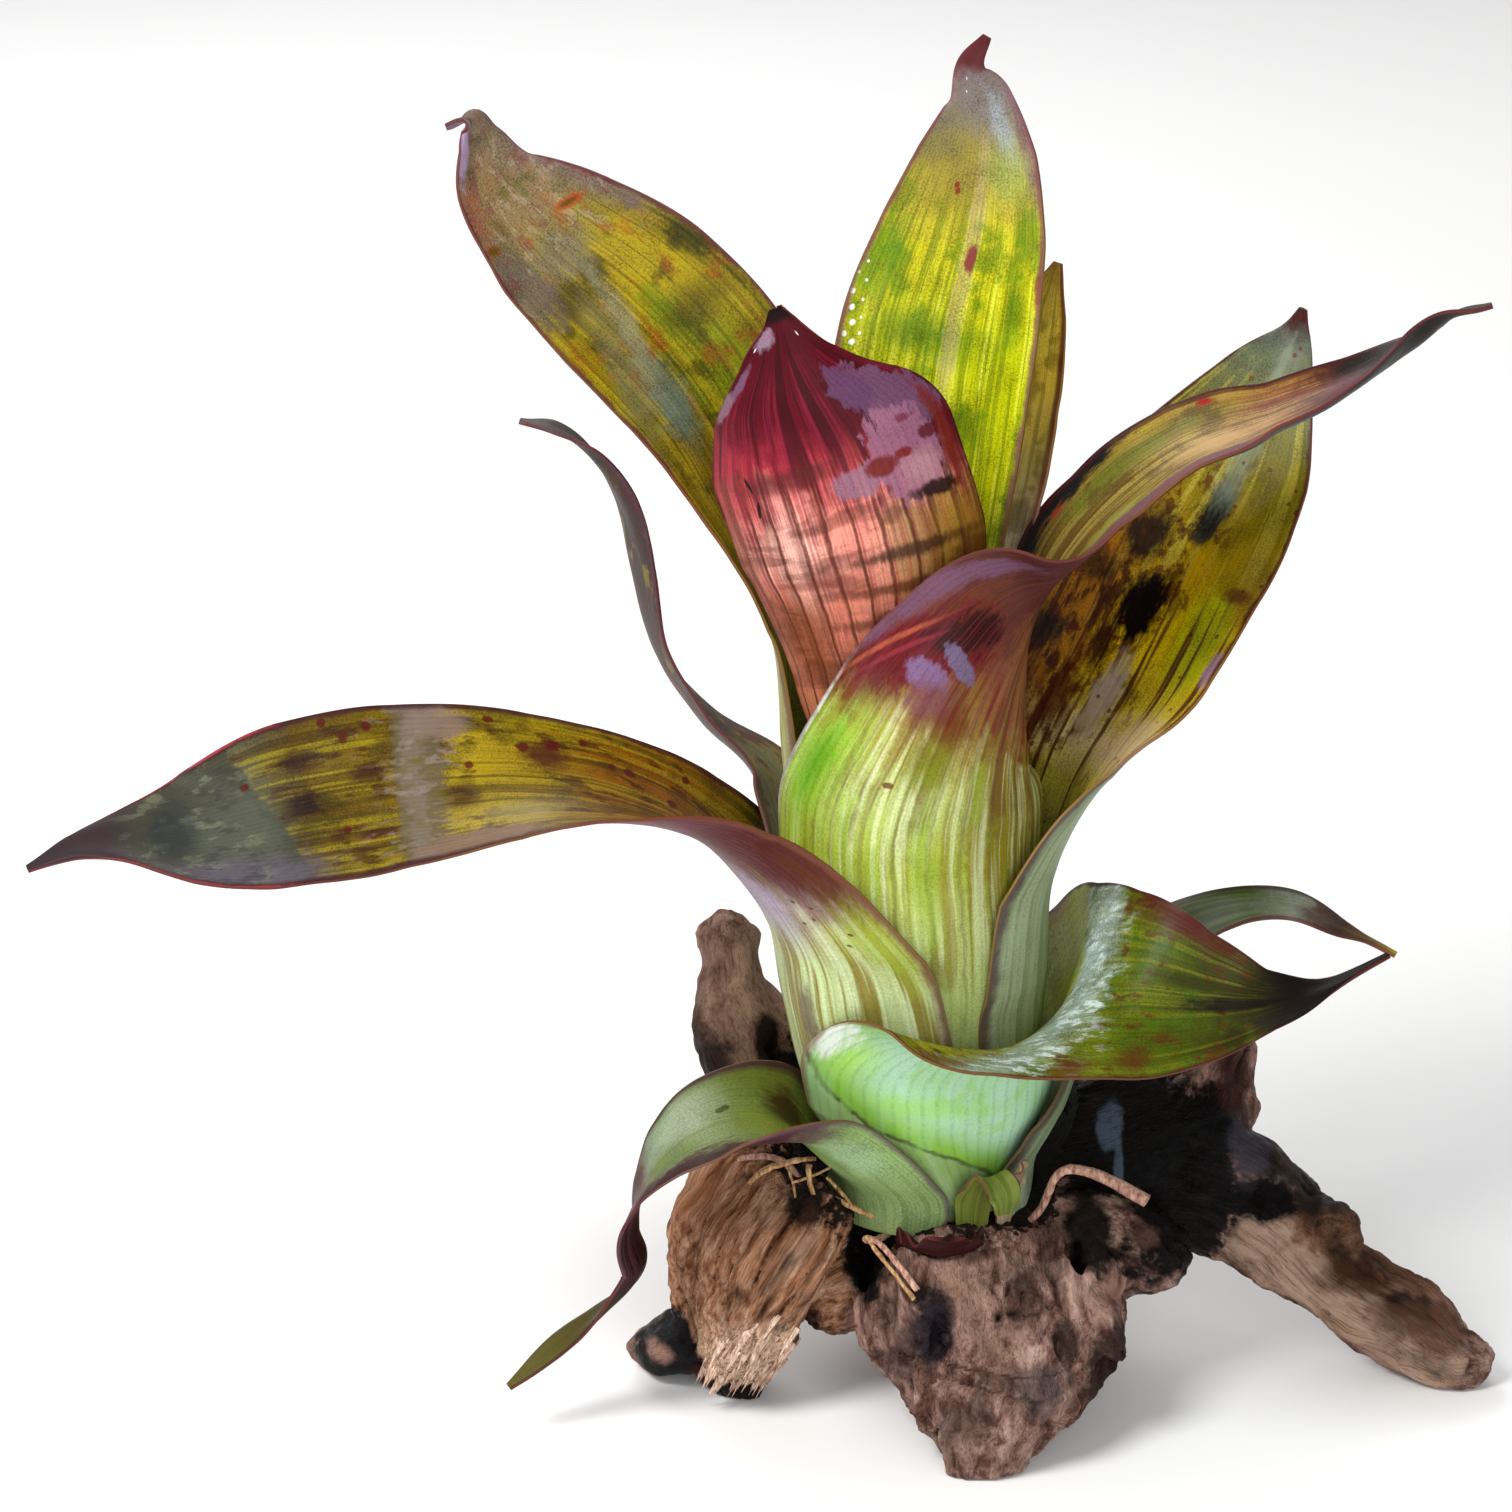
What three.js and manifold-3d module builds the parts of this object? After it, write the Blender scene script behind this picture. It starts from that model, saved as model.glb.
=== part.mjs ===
// A small spotted tank bromeliad, a rosette of strap leaves, growing on a piece of driftwood.
// Millimetres, +Z up. The wood stands on z = 0 and the origin is under the middle of the whole box.
import * as THREE from "three";
import * as BufferGeometryUtils from "three/addons/utils/BufferGeometryUtils.js";
import Module from "manifold-3d";

const wasm = await Module();
wasm.setup();

// Driving dimensions
const originX = 4.7; // middle of the whole box, in the drawing's own coordinates
const originY = 0.45;
const clearance = 0.35; // kept between neighbouring pieces
const bladeThickness = 1.0; // along the midrib
const marginThickness = 0.75; // along both margins
const leafStrips = { across: 8, along: 24 };
const scaleStrips = { across: 4, along: 10 };
const waveHeight = 1.1; // of the blades' margins, which run in slow waves
const waveTurns = 2.5; // waves along a leaf
const waveLag = 0.3; // of a turn, by which one margin's waves trail the other's
const waveFade = 0.15; // of the leaf, over which the waves start and end
const sheathBlend = 0.1; // of the leaf, over which level sheath sections turn into tilted ones
const thinnest = 0.6; // half width and thickness that a leaf never goes under

// The rosette's axis, which leans a little to the left
const axisFootX = 30;
const axisFootZ = 35;
const axisLean = -0.067; // sideways travel for each millimetre of height
const stemTopZ = 58;
const stemTopRadius = 3.2;
const stemTaper = 0.5; // radius gained for each millimetre further down
const ringStep = 2; // from one ring of sheaths to the next
const tubeRing = 3; // the ring that the vase profile below belongs to
const sheathRise = 16; // height over which a sheath swells from the stem to the vase
const vaseProfile = [
  [30, 9],
  [40, 11],
  [50, 15],
  [65, 18],
  [85, 21],
  [105, 22],
  [125, 21.5],
  [150, 22],
];

const degrees = Math.PI / 180;
const flatCup = 0.01; // the least turn of a leaf's section, which is then all but flat
const nearby = 0.01; // of a leaf, each way, over which its direction is taken

function smooth(share) {
  const s = Math.min(1, Math.max(0, share));
  return s * s * (3 - 2 * s);
}

function alongProfile(profile, z) {
  let k = 1;
  while (k < profile.length - 1 && profile[k][0] < z) {
    k += 1;
  }
  const [z0, r0] = profile[k - 1];
  const [z1, r1] = profile[k];
  return THREE.MathUtils.lerp(r0, r1, Math.min(1, Math.max(0, (z - z0) / (z1 - z0))));
}

function stemRadius(z) {
  return stemTopRadius + (stemTopZ - z) * stemTaper;
}

function axisX(z) {
  return axisFootX + axisLean * (z - axisFootZ);
}

// Radius of a ring of sheaths: it starts on the stem and swells to its place in the vase
function sheathRadius(ring, footZ, z) {
  const foot = stemRadius(footZ) + bladeThickness / 2 + clearance;
  const swollen = alongProfile(vaseProfile, z) + ringStep * (ring - tubeRing);
  return foot + (swollen - foot) * smooth((z - footZ) / sheathRise);
}

// Leaves, from the innermost out. bearing is the side it grows to, in degrees anticlockwise from +X
// seen from above. sheath rows are height and half the angle it wraps. blade rows are x, y, z, half
// width, cup in degrees (how far each margin turns in) and roll in degrees about the midrib.
const leaves = [
  {
    name: "leaf_heart",
    colour: 0xa8505a,
    bearing: -98,
    ring: -1,
    sheath: [[56, 70], [68, 78], [90, 76], [112, 68]],
    blade: [
      [20, -8, 132, 18, 58, 0],
      [16, -6, 151, 24.5, 58, 0],
      [11, -3, 166, 24, 52, 0],
      [7, -1, 175.5, 17.5, 44, 0],
      [5, 1, 182, 8.5, 30, 0],
      [4, 2, 187, 3.4, 10, 0],
      [3, 3, 190, 1, 0, 0],
    ],
  },
  {
    name: "leaf_top",
    colour: 0x9aa82e,
    bearing: 80,
    ring: 0,
    sheath: [[54, 70], [66, 80], [90, 80], [115, 75]],
    blade: [
      [26, 20, 138, 18, 52, 0],
      [28, 25, 158, 18, 38, 0],
      [31, 29, 178, 17.5, 30, 0],
      [35, 32, 195, 14.5, 26, 0],
      [37, 34, 208, 10, 24, 0],
      [37, 35, 216.5, 5.6, 16, 0],
      [35.5, 35, 222, 2.4, 6, 0],
      [38, 35, 227, 0.8, 0, 0],
    ],
  },
  {
    name: "leaf_behind",
    colour: 0x7d8038,
    bearing: 52,
    ring: 1,
    sheath: [[50, 45], [66, 50], [90, 46], [112, 38]],
    blade: [
      [37, 22, 132, 12, 34, 0],
      [41, 29, 150, 12, 30, 0],
      [45, 34, 166, 9, 26, 0],
      [48.5, 38, 179, 5, 20, 0],
      [51, 40, 187, 0.8, 0, 0],
    ],
  },
  {
    name: "leaf_upper_left",
    colour: 0x8a8a30,
    bearing: 142,
    ring: 2,
    sheath: [[47, 60], [62, 78], [85, 80], [108, 70]],
    blade: [
      [8, 20, 130, 16, 46, -6],
      [1, 26, 150, 17.5, 36, -16],
      [-9, 33, 168, 18, 30, -26],
      [-21, 38, 180.5, 17, 26, -34],
      [-34, 41, 191, 13.5, 24, -38],
      [-43.5, 43, 200, 8.4, 22, -34],
      [-46.5, 44, 207, 4.6, 16, -20],
      [-48, 44, 210.5, 2.6, 10, 0],
      [-52, 43.5, 209.5, 0.8, 0, 20],
    ],
  },
  {
    name: "leaf_cup",
    colour: 0x9c9a52,
    bearing: -72,
    ring: 3,
    sheath: [[44, 65], [60, 85], [85, 95], [106, 94]],
    blade: [
      [35, -18.5, 121, 29, 80, 12],
      [40.5, -9.5, 132.5, 22.5, 58, 40],
      [47.5, 1, 141.5, 17.5, 34, 78],
      [58, 6, 153.5, 15.5, 30, 82],
      [71, 7, 164, 15, 26, 68],
      [85, 7, 170, 10.5, 24, 52],
      [97, 6, 176, 8, 30, 44],
      [106, 5, 182.5, 6.5, 36, 36],
      [112, 5, 188, 2.8, 20, 30],
      [119, 5, 190, 0.8, 0, 30],
    ],
  },
  {
    name: "leaf_right_back",
    colour: 0x7c6a2a,
    bearing: 18,
    ring: 4,
    sheath: [[41, 60], [58, 76], [76, 78], [92, 72]],
    blade: [
      [53, 12, 107, 24, 55, 14],
      [62, 20, 121, 22, 42, 30],
      [71, 28, 138, 20, 32, 42],
      [81, 35, 154, 15.5, 26, 48],
      [88, 40, 167, 8, 22, 44],
      [92, 43, 174, 3, 10, 30],
      [93, 43, 178, 0.8, 0, 20],
    ],
  },
  {
    name: "leaf_left_back",
    colour: 0x6f6457,
    bearing: 158,
    ring: 3.3,
    sheath: [[42, 35], [58, 40], [76, 36], [90, 30]],
    blade: [
      [2, 19, 102, 8, 30, 0],
      [-9, 23, 111, 8, 26, 20],
      [-17, 25, 123, 7, 24, 40],
      [-20, 28, 136, 6, 24, 50],
      [-23, 30, 148, 5, 24, 40],
      [-28, 32, 156, 3.5, 20, 20],
      [-34, 33, 160, 2, 10, 0],
      [-40, 34, 161, 0.7, 0, 0],
    ],
  },
  {
    name: "leaf_long_left",
    colour: 0x7f7428,
    bearing: 202,
    ring: 5,
    sheath: [[38, 60], [54, 76], [72, 80], [86, 72]],
    blade: [
      [-8, -12, 103, 19, 52, -2],
      [-21, -14, 110.5, 17.5, 36, -10],
      [-39, -16, 114, 16.5, 26, -20],
      [-58, -18, 113.5, 16.5, 22, -28],
      [-76, -20, 111.5, 15.5, 20, -34],
      [-92, -22, 108.5, 11.5, 20, -34],
      [-103, -24, 108.5, 6, 18, -30],
      [-110, -26, 108, 2.8, 10, -20],
      [-118, -28, 105, 0.8, 0, -10],
    ],
  },
  {
    name: "leaf_right_front",
    colour: 0x7f9a34,
    bearing: -44,
    ring: 6,
    sheath: [[35, 60], [45, 90], [55, 108], [64, 104]],
    blade: [
      [48, -18.5, 71.5, 31, 60, 10],
      [53, -24, 79, 24.5, 34, 28],
      [61.5, -29.5, 83.5, 18.5, 20, 42],
      [74, -31, 83, 11, 16, 46],
      [84, -29, 82, 5, 12, 44],
      [93, -26, 83, 2.4, 6, 34],
      [104, -22, 87, 0.8, 0, 20],
    ],
  },
  {
    name: "leaf_right_rear",
    colour: 0x6c7a35,
    bearing: 8,
    ring: 7,
    sheath: [[32, 54], [41, 64], [49, 52]],
    blade: [
      [57, 7, 61, 11, 30, 0],
      [68, 12, 72, 9, 24, 10],
      [80, 16, 77, 7.5, 22, 10],
      [92, 17, 78, 5, 20, 0],
      [102, 14, 75, 2.6, 10, 0],
      [110, 11, 72, 0.8, 0, 0],
    ],
  },
  {
    name: "leaf_lower_left",
    colour: 0x74884a,
    bearing: 235,
    ring: 7,
    sheath: [[32, 40], [39, 44]],
    blade: [
      [14, -18, 46, 13.5, 60, -4],
      [7, -19, 52, 14, 68, -18],
      [0, -20.5, 55, 12.5, 62, -24],
      [-7, -22, 55, 10, 50, -14],
      [-14, -23, 51, 7.5, 34, 20],
      [-19, -23, 44, 5.5, 24, 60],
      [-21, -22, 35, 4.5, 20, 80],
      [-20, -21, 28, 4.2, 16, 70],
      [-26, -22, 21, 3.9, 14, 40],
      [-34, -24, 15, 2.8, 10, 20],
      [-42, -27, 9, 0.7, 0, 10],
    ],
  },
  {
    name: "scale_red",
    strips: scaleStrips,
    colour: 0x5a2024,
    bearing: -86,
    ring: 8,
    sheath: [[30, 26]],
    blade: [
      [31.3, -20.5, 31.5, 8, 46, 0],
      [31.6, -23.5, 32.5, 7.8, 48, 0],
      [31.8, -26, 34.5, 6, 36, 0],
      [32, -27, 37, 3.2, 16, 0],
    ],
  },
  {
    name: "scale_curled",
    strips: scaleStrips,
    colour: 0x8ea04e,
    bearing: -68,
    ring: 8,
    sheath: [[31, 8], [37, 10]],
    blade: [
      [37.8, -19, 43, 3.6, 20, 0],
      [39.6, -21, 45, 3.4, 20, 0],
      [41.5, -22, 43, 2.8, 16, 0],
      [41.5, -22, 39.5, 1.6, 10, 0],
    ],
  },
  {
    name: "scale_dry",
    strips: scaleStrips,
    colour: 0xb09a78,
    bearing: -48,
    ring: 8.6,
    sheath: [[31, 5], [37, 6]],
    blade: [
      [43.5, -17.5, 42, 1.8, 20, 0],
      [44.5, -18, 45, 1.2, 10, 0],
      [45.5, -17.5, 47, 0.7, 0, 0],
    ],
  },
];

function bearingVector(bearing) {
  return new THREE.Vector3(Math.cos(bearing * degrees), Math.sin(bearing * degrees), 0);
}

// Every station of a leaf as a place on the midrib and a form: half width, cup and roll
function leafStations(leaf) {
  const out = bearingVector(leaf.bearing);
  const places = [];
  const forms = [];
  for (const [z, halfAngle] of leaf.sheath) {
    const radius = sheathRadius(leaf.ring, leaf.sheath[0][0], z);
    places.push(new THREE.Vector3(axisX(z), 0, z).addScaledVector(out, radius));
    forms.push(new THREE.Vector3(radius * halfAngle * degrees, halfAngle * degrees, 0));
  }
  for (const [x, y, z, halfWidth, cup, roll] of leaf.blade) {
    places.push(new THREE.Vector3(x, y, z));
    forms.push(new THREE.Vector3(halfWidth, cup * degrees, roll * degrees));
  }
  return {
    place: new THREE.CatmullRomCurve3(places),
    form: new THREE.CatmullRomCurve3(forms),
  };
}

// The leaf's middle surface as a grid of points, each row an arc across the midrib. extra widens it.
function leafGrid(leaf, extra) {
  const { place, form } = leafStations(leaf);
  const acrossSheath = bearingVector(leaf.bearing + 90);
  const intoSheath = bearingVector(leaf.bearing + 180);
  const sheathShare = (leaf.sheath.length - 1) / (leaf.sheath.length + leaf.blade.length - 1);
  const { across: columns, along: rows } = leaf.strips ?? leafStrips;
  const grid = [];
  for (let i = 0; i <= rows; i += 1) {
    const t = i / rows;
    const centre = place.getPoint(t);
    const shape = form.getPoint(t);
    const tangent = place.getPoint(Math.min(1, t + nearby));
    tangent.sub(place.getPoint(Math.max(0, t - nearby))).normalize();
    if (i === 0 || i === rows) {
      centre.addScaledVector(tangent, i === 0 ? -extra : extra);
    }
    const across = acrossSheath.clone().addScaledVector(tangent, -acrossSheath.dot(tangent));
    across.normalize();
    across.applyAxisAngle(tangent, shape.z);
    const inward = new THREE.Vector3().crossVectors(tangent, across);
    inward.lerp(intoSheath, 1 - smooth((t - sheathShare) / sheathBlend)).normalize();
    const halfWidth = Math.max(thinnest, shape.x);
    const cup = Math.max(flatCup, shape.y);
    const bend = halfWidth / cup;
    const reach = (halfWidth + extra) / halfWidth;
    const wave = waveHeight * smooth((t - sheathShare) / waveFade) * smooth((1 - t) / waveFade);
    const row = [];
    for (let j = 0; j <= columns; j += 1) {
      const share = (2 * j) / columns - 1;
      const turn = cup * share * reach;
      const phase = 2 * Math.PI * (waveTurns * t + waveLag * share);
      const point = centre.clone();
      point.addScaledVector(across, bend * Math.sin(turn));
      point.addScaledVector(inward, bend * (1 - Math.cos(turn)) + wave * share ** 2 * Math.sin(phase));
      row.push(point);
    }
    grid.push(row);
  }
  return grid;
}

function gridNormal(grid, i, j) {
  const rows = grid.length - 1;
  const columns = grid[0].length - 1;
  const up = grid[Math.min(rows, i + 1)][j].clone().sub(grid[Math.max(0, i - 1)][j]);
  const side = grid[i][Math.min(columns, j + 1)].clone().sub(grid[i][Math.max(0, j - 1)]);
  return up.cross(side).normalize();
}

// A closed blade: both faces are split into the same triangles, and a strip closes the rim. extra
// thickens and widens it, for the room that its neighbours leave.
function leafGeometry(leaf, extra) {
  const grid = leafGrid(leaf, extra);
  const rows = grid.length - 1;
  const columns = grid[0].length - 1;
  const positions = [];
  for (const side of [1, -1]) {
    for (let i = 0; i <= rows; i += 1) {
      for (let j = 0; j <= columns; j += 1) {
        const fromMidrib = Math.abs((2 * j) / columns - 1);
        const thickness = THREE.MathUtils.lerp(bladeThickness, marginThickness, fromMidrib);
        const lift = gridNormal(grid, i, j).multiplyScalar(side * (thickness / 2 + extra));
        const point = grid[i][j].clone().add(lift);
        positions.push(point.x, point.y, point.z);
      }
    }
  }
  const perFace = (rows + 1) * (columns + 1);
  const at = (i, j) => i * (columns + 1) + j;
  const index = [];
  for (let i = 0; i < rows; i += 1) {
    for (let j = 0; j < columns; j += 1) {
      const a = at(i, j);
      const b = at(i, j + 1);
      const c = at(i + 1, j + 1);
      const d = at(i + 1, j);
      index.push(a, d, c, a, c, b);
      index.push(a + perFace, c + perFace, d + perFace, a + perFace, b + perFace, c + perFace);
    }
  }
  const rim = [];
  for (let j = 0; j < columns; j += 1) {
    rim.push(at(0, j));
  }
  for (let i = 0; i < rows; i += 1) {
    rim.push(at(i, columns));
  }
  for (let j = columns; j > 0; j -= 1) {
    rim.push(at(rows, j));
  }
  for (let i = rows; i > 0; i -= 1) {
    rim.push(at(i, 0));
  }
  rim.forEach((p, k) => {
    const q = rim[(k + 1) % rim.length];
    index.push(p, q, q + perFace, p, q + perFace, p + perFace);
  });
  const geometry = new THREE.BufferGeometry();
  geometry.setAttribute("position", new THREE.Float32BufferAttribute(positions, 3));
  geometry.setIndex(index);
  return geometry;
}

function toSolid(geometry) {
  const bare = geometry.clone();
  bare.deleteAttribute("normal");
  bare.deleteAttribute("uv");
  const merged = BufferGeometryUtils.mergeVertices(bare, 1e-4);
  return new wasm.Manifold(
    new wasm.Mesh({
      numProp: 3,
      vertProperties: new Float32Array(merged.attributes.position.array),
      triVerts: new Uint32Array(merged.index.array),
    }),
  );
}

function toGeometry(solid) {
  const mesh = solid.getMesh();
  const geometry = new THREE.BufferGeometry();
  geometry.setAttribute("position", new THREE.BufferAttribute(mesh.vertProperties.slice(), 3));
  geometry.setIndex(new THREE.BufferAttribute(mesh.triVerts.slice(), 1));
  return geometry;
}

// The wood: limbs that run into one another. Each station is x, y, z, half width and half thickness.
const limbSides = 14;
const knots = 0.07; // height of the broad knots on a limb, as a share of its radius
const ridges = 0.05; // and of the grain ridges that wind along it
const tipLength = 2; // of the blunt point that ends each limb
const seatRadius = 27; // the hollow that the plant sits in
const seatX = 30;
const seatY = -1;
const seatZ = 55.5;
const floorSize = 400; // of the block below z = 0 that trims the feet flat
const limbs = [
  [
    [24, 6, 26, 16, 12],
    [10, 0, 34, 17, 11],
    [1, -6, 33, 18, 10],
    [-3, -11, 23, 16.5, 9],
    [-4, -12, 12, 12, 8],
    [-4, -10, 4, 8, 6],
    [-4, -9, -4, 5, 4],
  ],
  [
    [38, 8, 22, 19, 12],
    [39, -8, 24, 22, 11],
    [40, -20, 21, 23, 11],
    [40, -29, 14, 20, 9],
    [38.5, -35, 7, 13, 7],
    [38, -38, 2, 8, 5],
    [38, -40, -4, 5, 3],
  ],
  [
    [34, 10, 26, 15, 13],
    [50, 10, 32, 14, 14],
    [66, 11, 36, 12, 15],
    [77, 12, 41, 8.5, 12],
    [81.5, 13, 50, 5, 6],
    [84, 14, 54.5, 3.5, 4],
  ],
  [
    [62, 10, 32, 12, 13],
    [78, 8, 31, 10, 13],
    [90, 5, 24, 9, 10],
    [101, 0, 14.5, 8, 7.5],
    [112, -4, 9, 8, 7.5],
    [120, -8, 4.5, 7, 6],
    [126, -9, 3.5, 4, 4],
  ],
  [
    [20, 12, 24, 15, 13],
    [10, 18, 36, 12, 11],
    [0, 23, 48, 11.5, 9.5],
    [-4, 25, 58, 7.5, 7],
    [-4.5, 26, 64, 5, 5.5],
    [-5, 26, 69, 5.5, 5.5],
    [-5, 26, 71.5, 3.5, 3.5],
  ],
  [
    [36, 10, 26, 16, 12],
    [40, 24, 22, 13, 11],
    [44, 34, 12, 10, 8],
    [46, 38, 3, 7, 6],
    [46, 39, -4, 5, 4],
  ],
  [
    [48, 4, 26, 13, 11],
    [60, -3, 25, 12, 10],
    [67, -7, 24, 9, 8],
    [72, -9, 22, 5, 5],
  ],
  [
    [28, 4, 24, 12, 10],
    [20, -3, 20, 11, 10],
    [15, -9, 19, 9, 8],
    [10, -13, 18, 7, 7],
  ],
  [
    [0, -8, 12, 9, 7],
    [-10, -6, 7, 7, 6],
    [-17, -4, 4, 5.5, 4.5],
    [-20, -3, 3, 3, 3],
  ],
  [
    [50, -20, 22, 9, 7],
    [56.5, -24, 19, 6.5, 6.5],
    [57.5, -27, 13, 5, 6],
  ],
  [
    [94, 3, 22, 7, 7],
    [100, 2, 23.5, 6, 6],
    [103, 1, 24, 3.5, 3.5],
  ],
];

function limbGeometry(stations) {
  const places = stations.map(([x, y, z]) => new THREE.Vector3(x, y, z));
  const forms = stations.map(([, , , across, thick]) => new THREE.Vector3(across, thick, 0));
  const place = new THREE.CatmullRomCurve3(places);
  const form = new THREE.CatmullRomCurve3(forms);
  const steps = (stations.length - 1) * 2;
  const positions = [];
  const start = place.getTangent(0);
  const across = new THREE.Vector3(-start.y, start.x, 0);
  for (let i = 0; i <= steps; i += 1) {
    const t = i / steps;
    const centre = place.getPoint(t);
    const size = form.getPoint(t);
    const tangent = place.getTangent(t);
    across.addScaledVector(tangent, -across.dot(tangent)).normalize();
    const over = new THREE.Vector3().crossVectors(tangent, across);
    for (let j = 0; j < limbSides; j += 1) {
      const angle = (2 * Math.PI * j) / limbSides;
      const rough = 1 + knots * Math.sin(3 * angle + 1.3 * i) + ridges * Math.sin(5 * angle - 0.9 * i);
      const point = centre.clone();
      point.addScaledVector(across, size.x * rough * Math.cos(angle));
      point.addScaledVector(over, size.y * rough * Math.sin(angle));
      positions.push(point.x, point.y, point.z);
    }
  }
  const foot = place.getPoint(0);
  const end = place.getPoint(1).addScaledVector(place.getTangent(1), tipLength);
  const first = positions.length / 3;
  positions.push(foot.x, foot.y, foot.z, end.x, end.y, end.z);
  const index = [];
  for (let i = 0; i < steps; i += 1) {
    for (let j = 0; j < limbSides; j += 1) {
      const k = (j + 1) % limbSides;
      const a = i * limbSides + j;
      const b = i * limbSides + k;
      const c = (i + 1) * limbSides + k;
      const d = (i + 1) * limbSides + j;
      index.push(a, b, c, a, c, d);
    }
  }
  for (let j = 0; j < limbSides; j += 1) {
    const k = (j + 1) % limbSides;
    index.push(first, k, j);
    index.push(first + 1, steps * limbSides + j, steps * limbSides + k);
  }
  const geometry = new THREE.BufferGeometry();
  geometry.setAttribute("position", new THREE.Float32BufferAttribute(positions, 3));
  geometry.setIndex(index);
  return geometry;
}

// The stem's lathe profile, radius and height, and its roots, each a round strand along a few points
const stemFootZ = 29.4;
const rootSteps = 10;
const rootSides = 4;
const roots = [
  {
    radius: 1.2,
    points: [
      [36, -4, 30.5],
      [43, -9.5, 29.4],
      [48.5, -12.5, 33],
      [50, -14, 41],
      [52, -15, 45],
      [58, -16, 44],
      [66, -19, 40],
    ],
  },
  {
    radius: 0.6,
    points: [
      [27, -6, 31],
      [22.5, -14, 30.5],
      [18, -21, 33],
      [18.5, -24, 36.5],
      [22, -26, 35],
      [27, -30, 29],
    ],
  },
  {
    radius: 0.6,
    points: [
      [24, -4, 31],
      [14.5, -8.5, 30.5],
      [9, -11, 36],
      [7, -11, 42],
      [3, -10.5, 45],
      [-3, -9, 43],
    ],
  },
];

function rootSolid({ radius, points }, extra) {
  const path = new THREE.CatmullRomCurve3(points.map((point) => new THREE.Vector3(...point)));
  const section = new THREE.Shape();
  section.absarc(0, 0, radius + extra, 0, 2 * Math.PI);
  const options = { steps: rootSteps, curveSegments: rootSides, extrudePath: path, bevelEnabled: false };
  return toSolid(new THREE.ExtrudeGeometry(section, options));
}

function stemSolid(extra) {
  const profile = [
    [0, stemFootZ - extra],
    [8 + extra, stemFootZ + 0.6 - extra],
    [12.6 + extra, 32],
    [stemRadius(36) + extra, 36],
    [stemRadius(46) + extra, 46],
    [stemTopRadius + extra, stemTopZ],
    [0, stemTopZ + 2 + extra],
  ];
  const lathe = new THREE.LatheGeometry(profile.map(([r, z]) => new THREE.Vector2(r, z)), 20);
  lathe.rotateX(Math.PI / 2);
  const lean = new THREE.Matrix4().makeShear(0, 0, 0, 0, axisLean, 0);
  lathe.translate(0, 0, -axisFootZ).applyMatrix4(lean).translate(axisFootX, 0, axisFootZ);
  return roots.reduce((solid, root) => solid.add(rootSolid(root, extra)), toSolid(lathe));
}

function driftwoodSolid() {
  const wood = limbs.map((limb) => toSolid(limbGeometry(limb))).reduce((whole, limb) => whole.add(limb));
  const seat = new THREE.SphereGeometry(seatRadius, 24, 16).translate(seatX, seatY, seatZ);
  const floor = new THREE.BoxGeometry(floorSize, floorSize, floorSize).translate(0, 0, -floorSize / 2);
  return wood.subtract(toSolid(seat)).subtract(toSolid(floor));
}

// The solid less all that its neighbours need, with any loose scrap dropped
function clearOf(solid, neighbours) {
  const cut = neighbours.reduce((left, neighbour) => left.subtract(neighbour), solid);
  const bodies = cut.decompose();
  bodies.sort((a, b) => b.volume() - a.volume());
  return bodies[0];
}

const group = new THREE.Group();
group.position.set(-originX, -originY, 0);

function addPiece(name, solid, colour, roughness) {
  const material = new THREE.MeshStandardMaterial({ color: colour, roughness, metalness: 0 });
  const mesh = new THREE.Mesh(toGeometry(solid), material);
  mesh.name = name;
  group.add(mesh);
}

addPiece("stem", stemSolid(0), 0x8a7a52, 0.8);

// Each leaf makes room for those inside it, and the wood makes room for the whole plant
const taken = [];
for (const leaf of leaves) {
  addPiece(leaf.name, clearOf(toSolid(leafGeometry(leaf, 0)), taken), leaf.colour, 0.4);
  taken.push(toSolid(leafGeometry(leaf, clearance)));
}
taken.push(stemSolid(clearance));
addPiece("driftwood", clearOf(driftwoodSolid(), taken), 0x6b4a35, 0.85);

export default group;
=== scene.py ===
import math
import random

import bmesh
import bpy
import numpy as np
from mathutils import Matrix, Vector, noise
from mathutils.bvhtree import BVHTree


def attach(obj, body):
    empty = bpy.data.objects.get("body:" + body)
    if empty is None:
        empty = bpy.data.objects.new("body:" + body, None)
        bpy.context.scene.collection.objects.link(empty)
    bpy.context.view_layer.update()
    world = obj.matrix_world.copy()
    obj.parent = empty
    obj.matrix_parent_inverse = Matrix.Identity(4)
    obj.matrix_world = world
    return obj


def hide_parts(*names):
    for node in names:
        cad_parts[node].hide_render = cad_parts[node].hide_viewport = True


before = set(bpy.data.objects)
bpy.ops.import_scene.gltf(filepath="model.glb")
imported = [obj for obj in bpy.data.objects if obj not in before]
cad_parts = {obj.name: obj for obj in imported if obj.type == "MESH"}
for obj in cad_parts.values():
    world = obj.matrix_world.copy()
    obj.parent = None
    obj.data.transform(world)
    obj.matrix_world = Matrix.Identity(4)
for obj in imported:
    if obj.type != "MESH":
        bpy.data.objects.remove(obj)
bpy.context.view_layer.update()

# Sizes are in millimetres in the rosette's own drawing, whose origin is moved to the row's by shift
mm = 0.001
shift = Vector((-4.7, -0.45, 0.0))
scene = bpy.context.scene
scene.view_settings.view_transform = "Standard"


def place(x, y, z):
    """A point of the drawing, in metres in the row's frame."""
    return (Vector((x, y, z)) + shift) * mm


def pick(*pieces):
    """Selects these pieces alone, and makes the first of them active."""
    if bpy.context.object and bpy.context.object.mode != "OBJECT":
        bpy.ops.object.mode_set(mode="OBJECT")
    bpy.ops.object.select_all(action="DESELECT")
    for piece in pieces:
        piece.select_set(True)
    if pieces:
        bpy.context.view_layer.objects.active = pieces[0]


def apply_modifiers(piece):
    pick(piece)
    for modifier in list(piece.modifiers):
        bpy.ops.object.modifier_apply(modifier=modifier.name)


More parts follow.
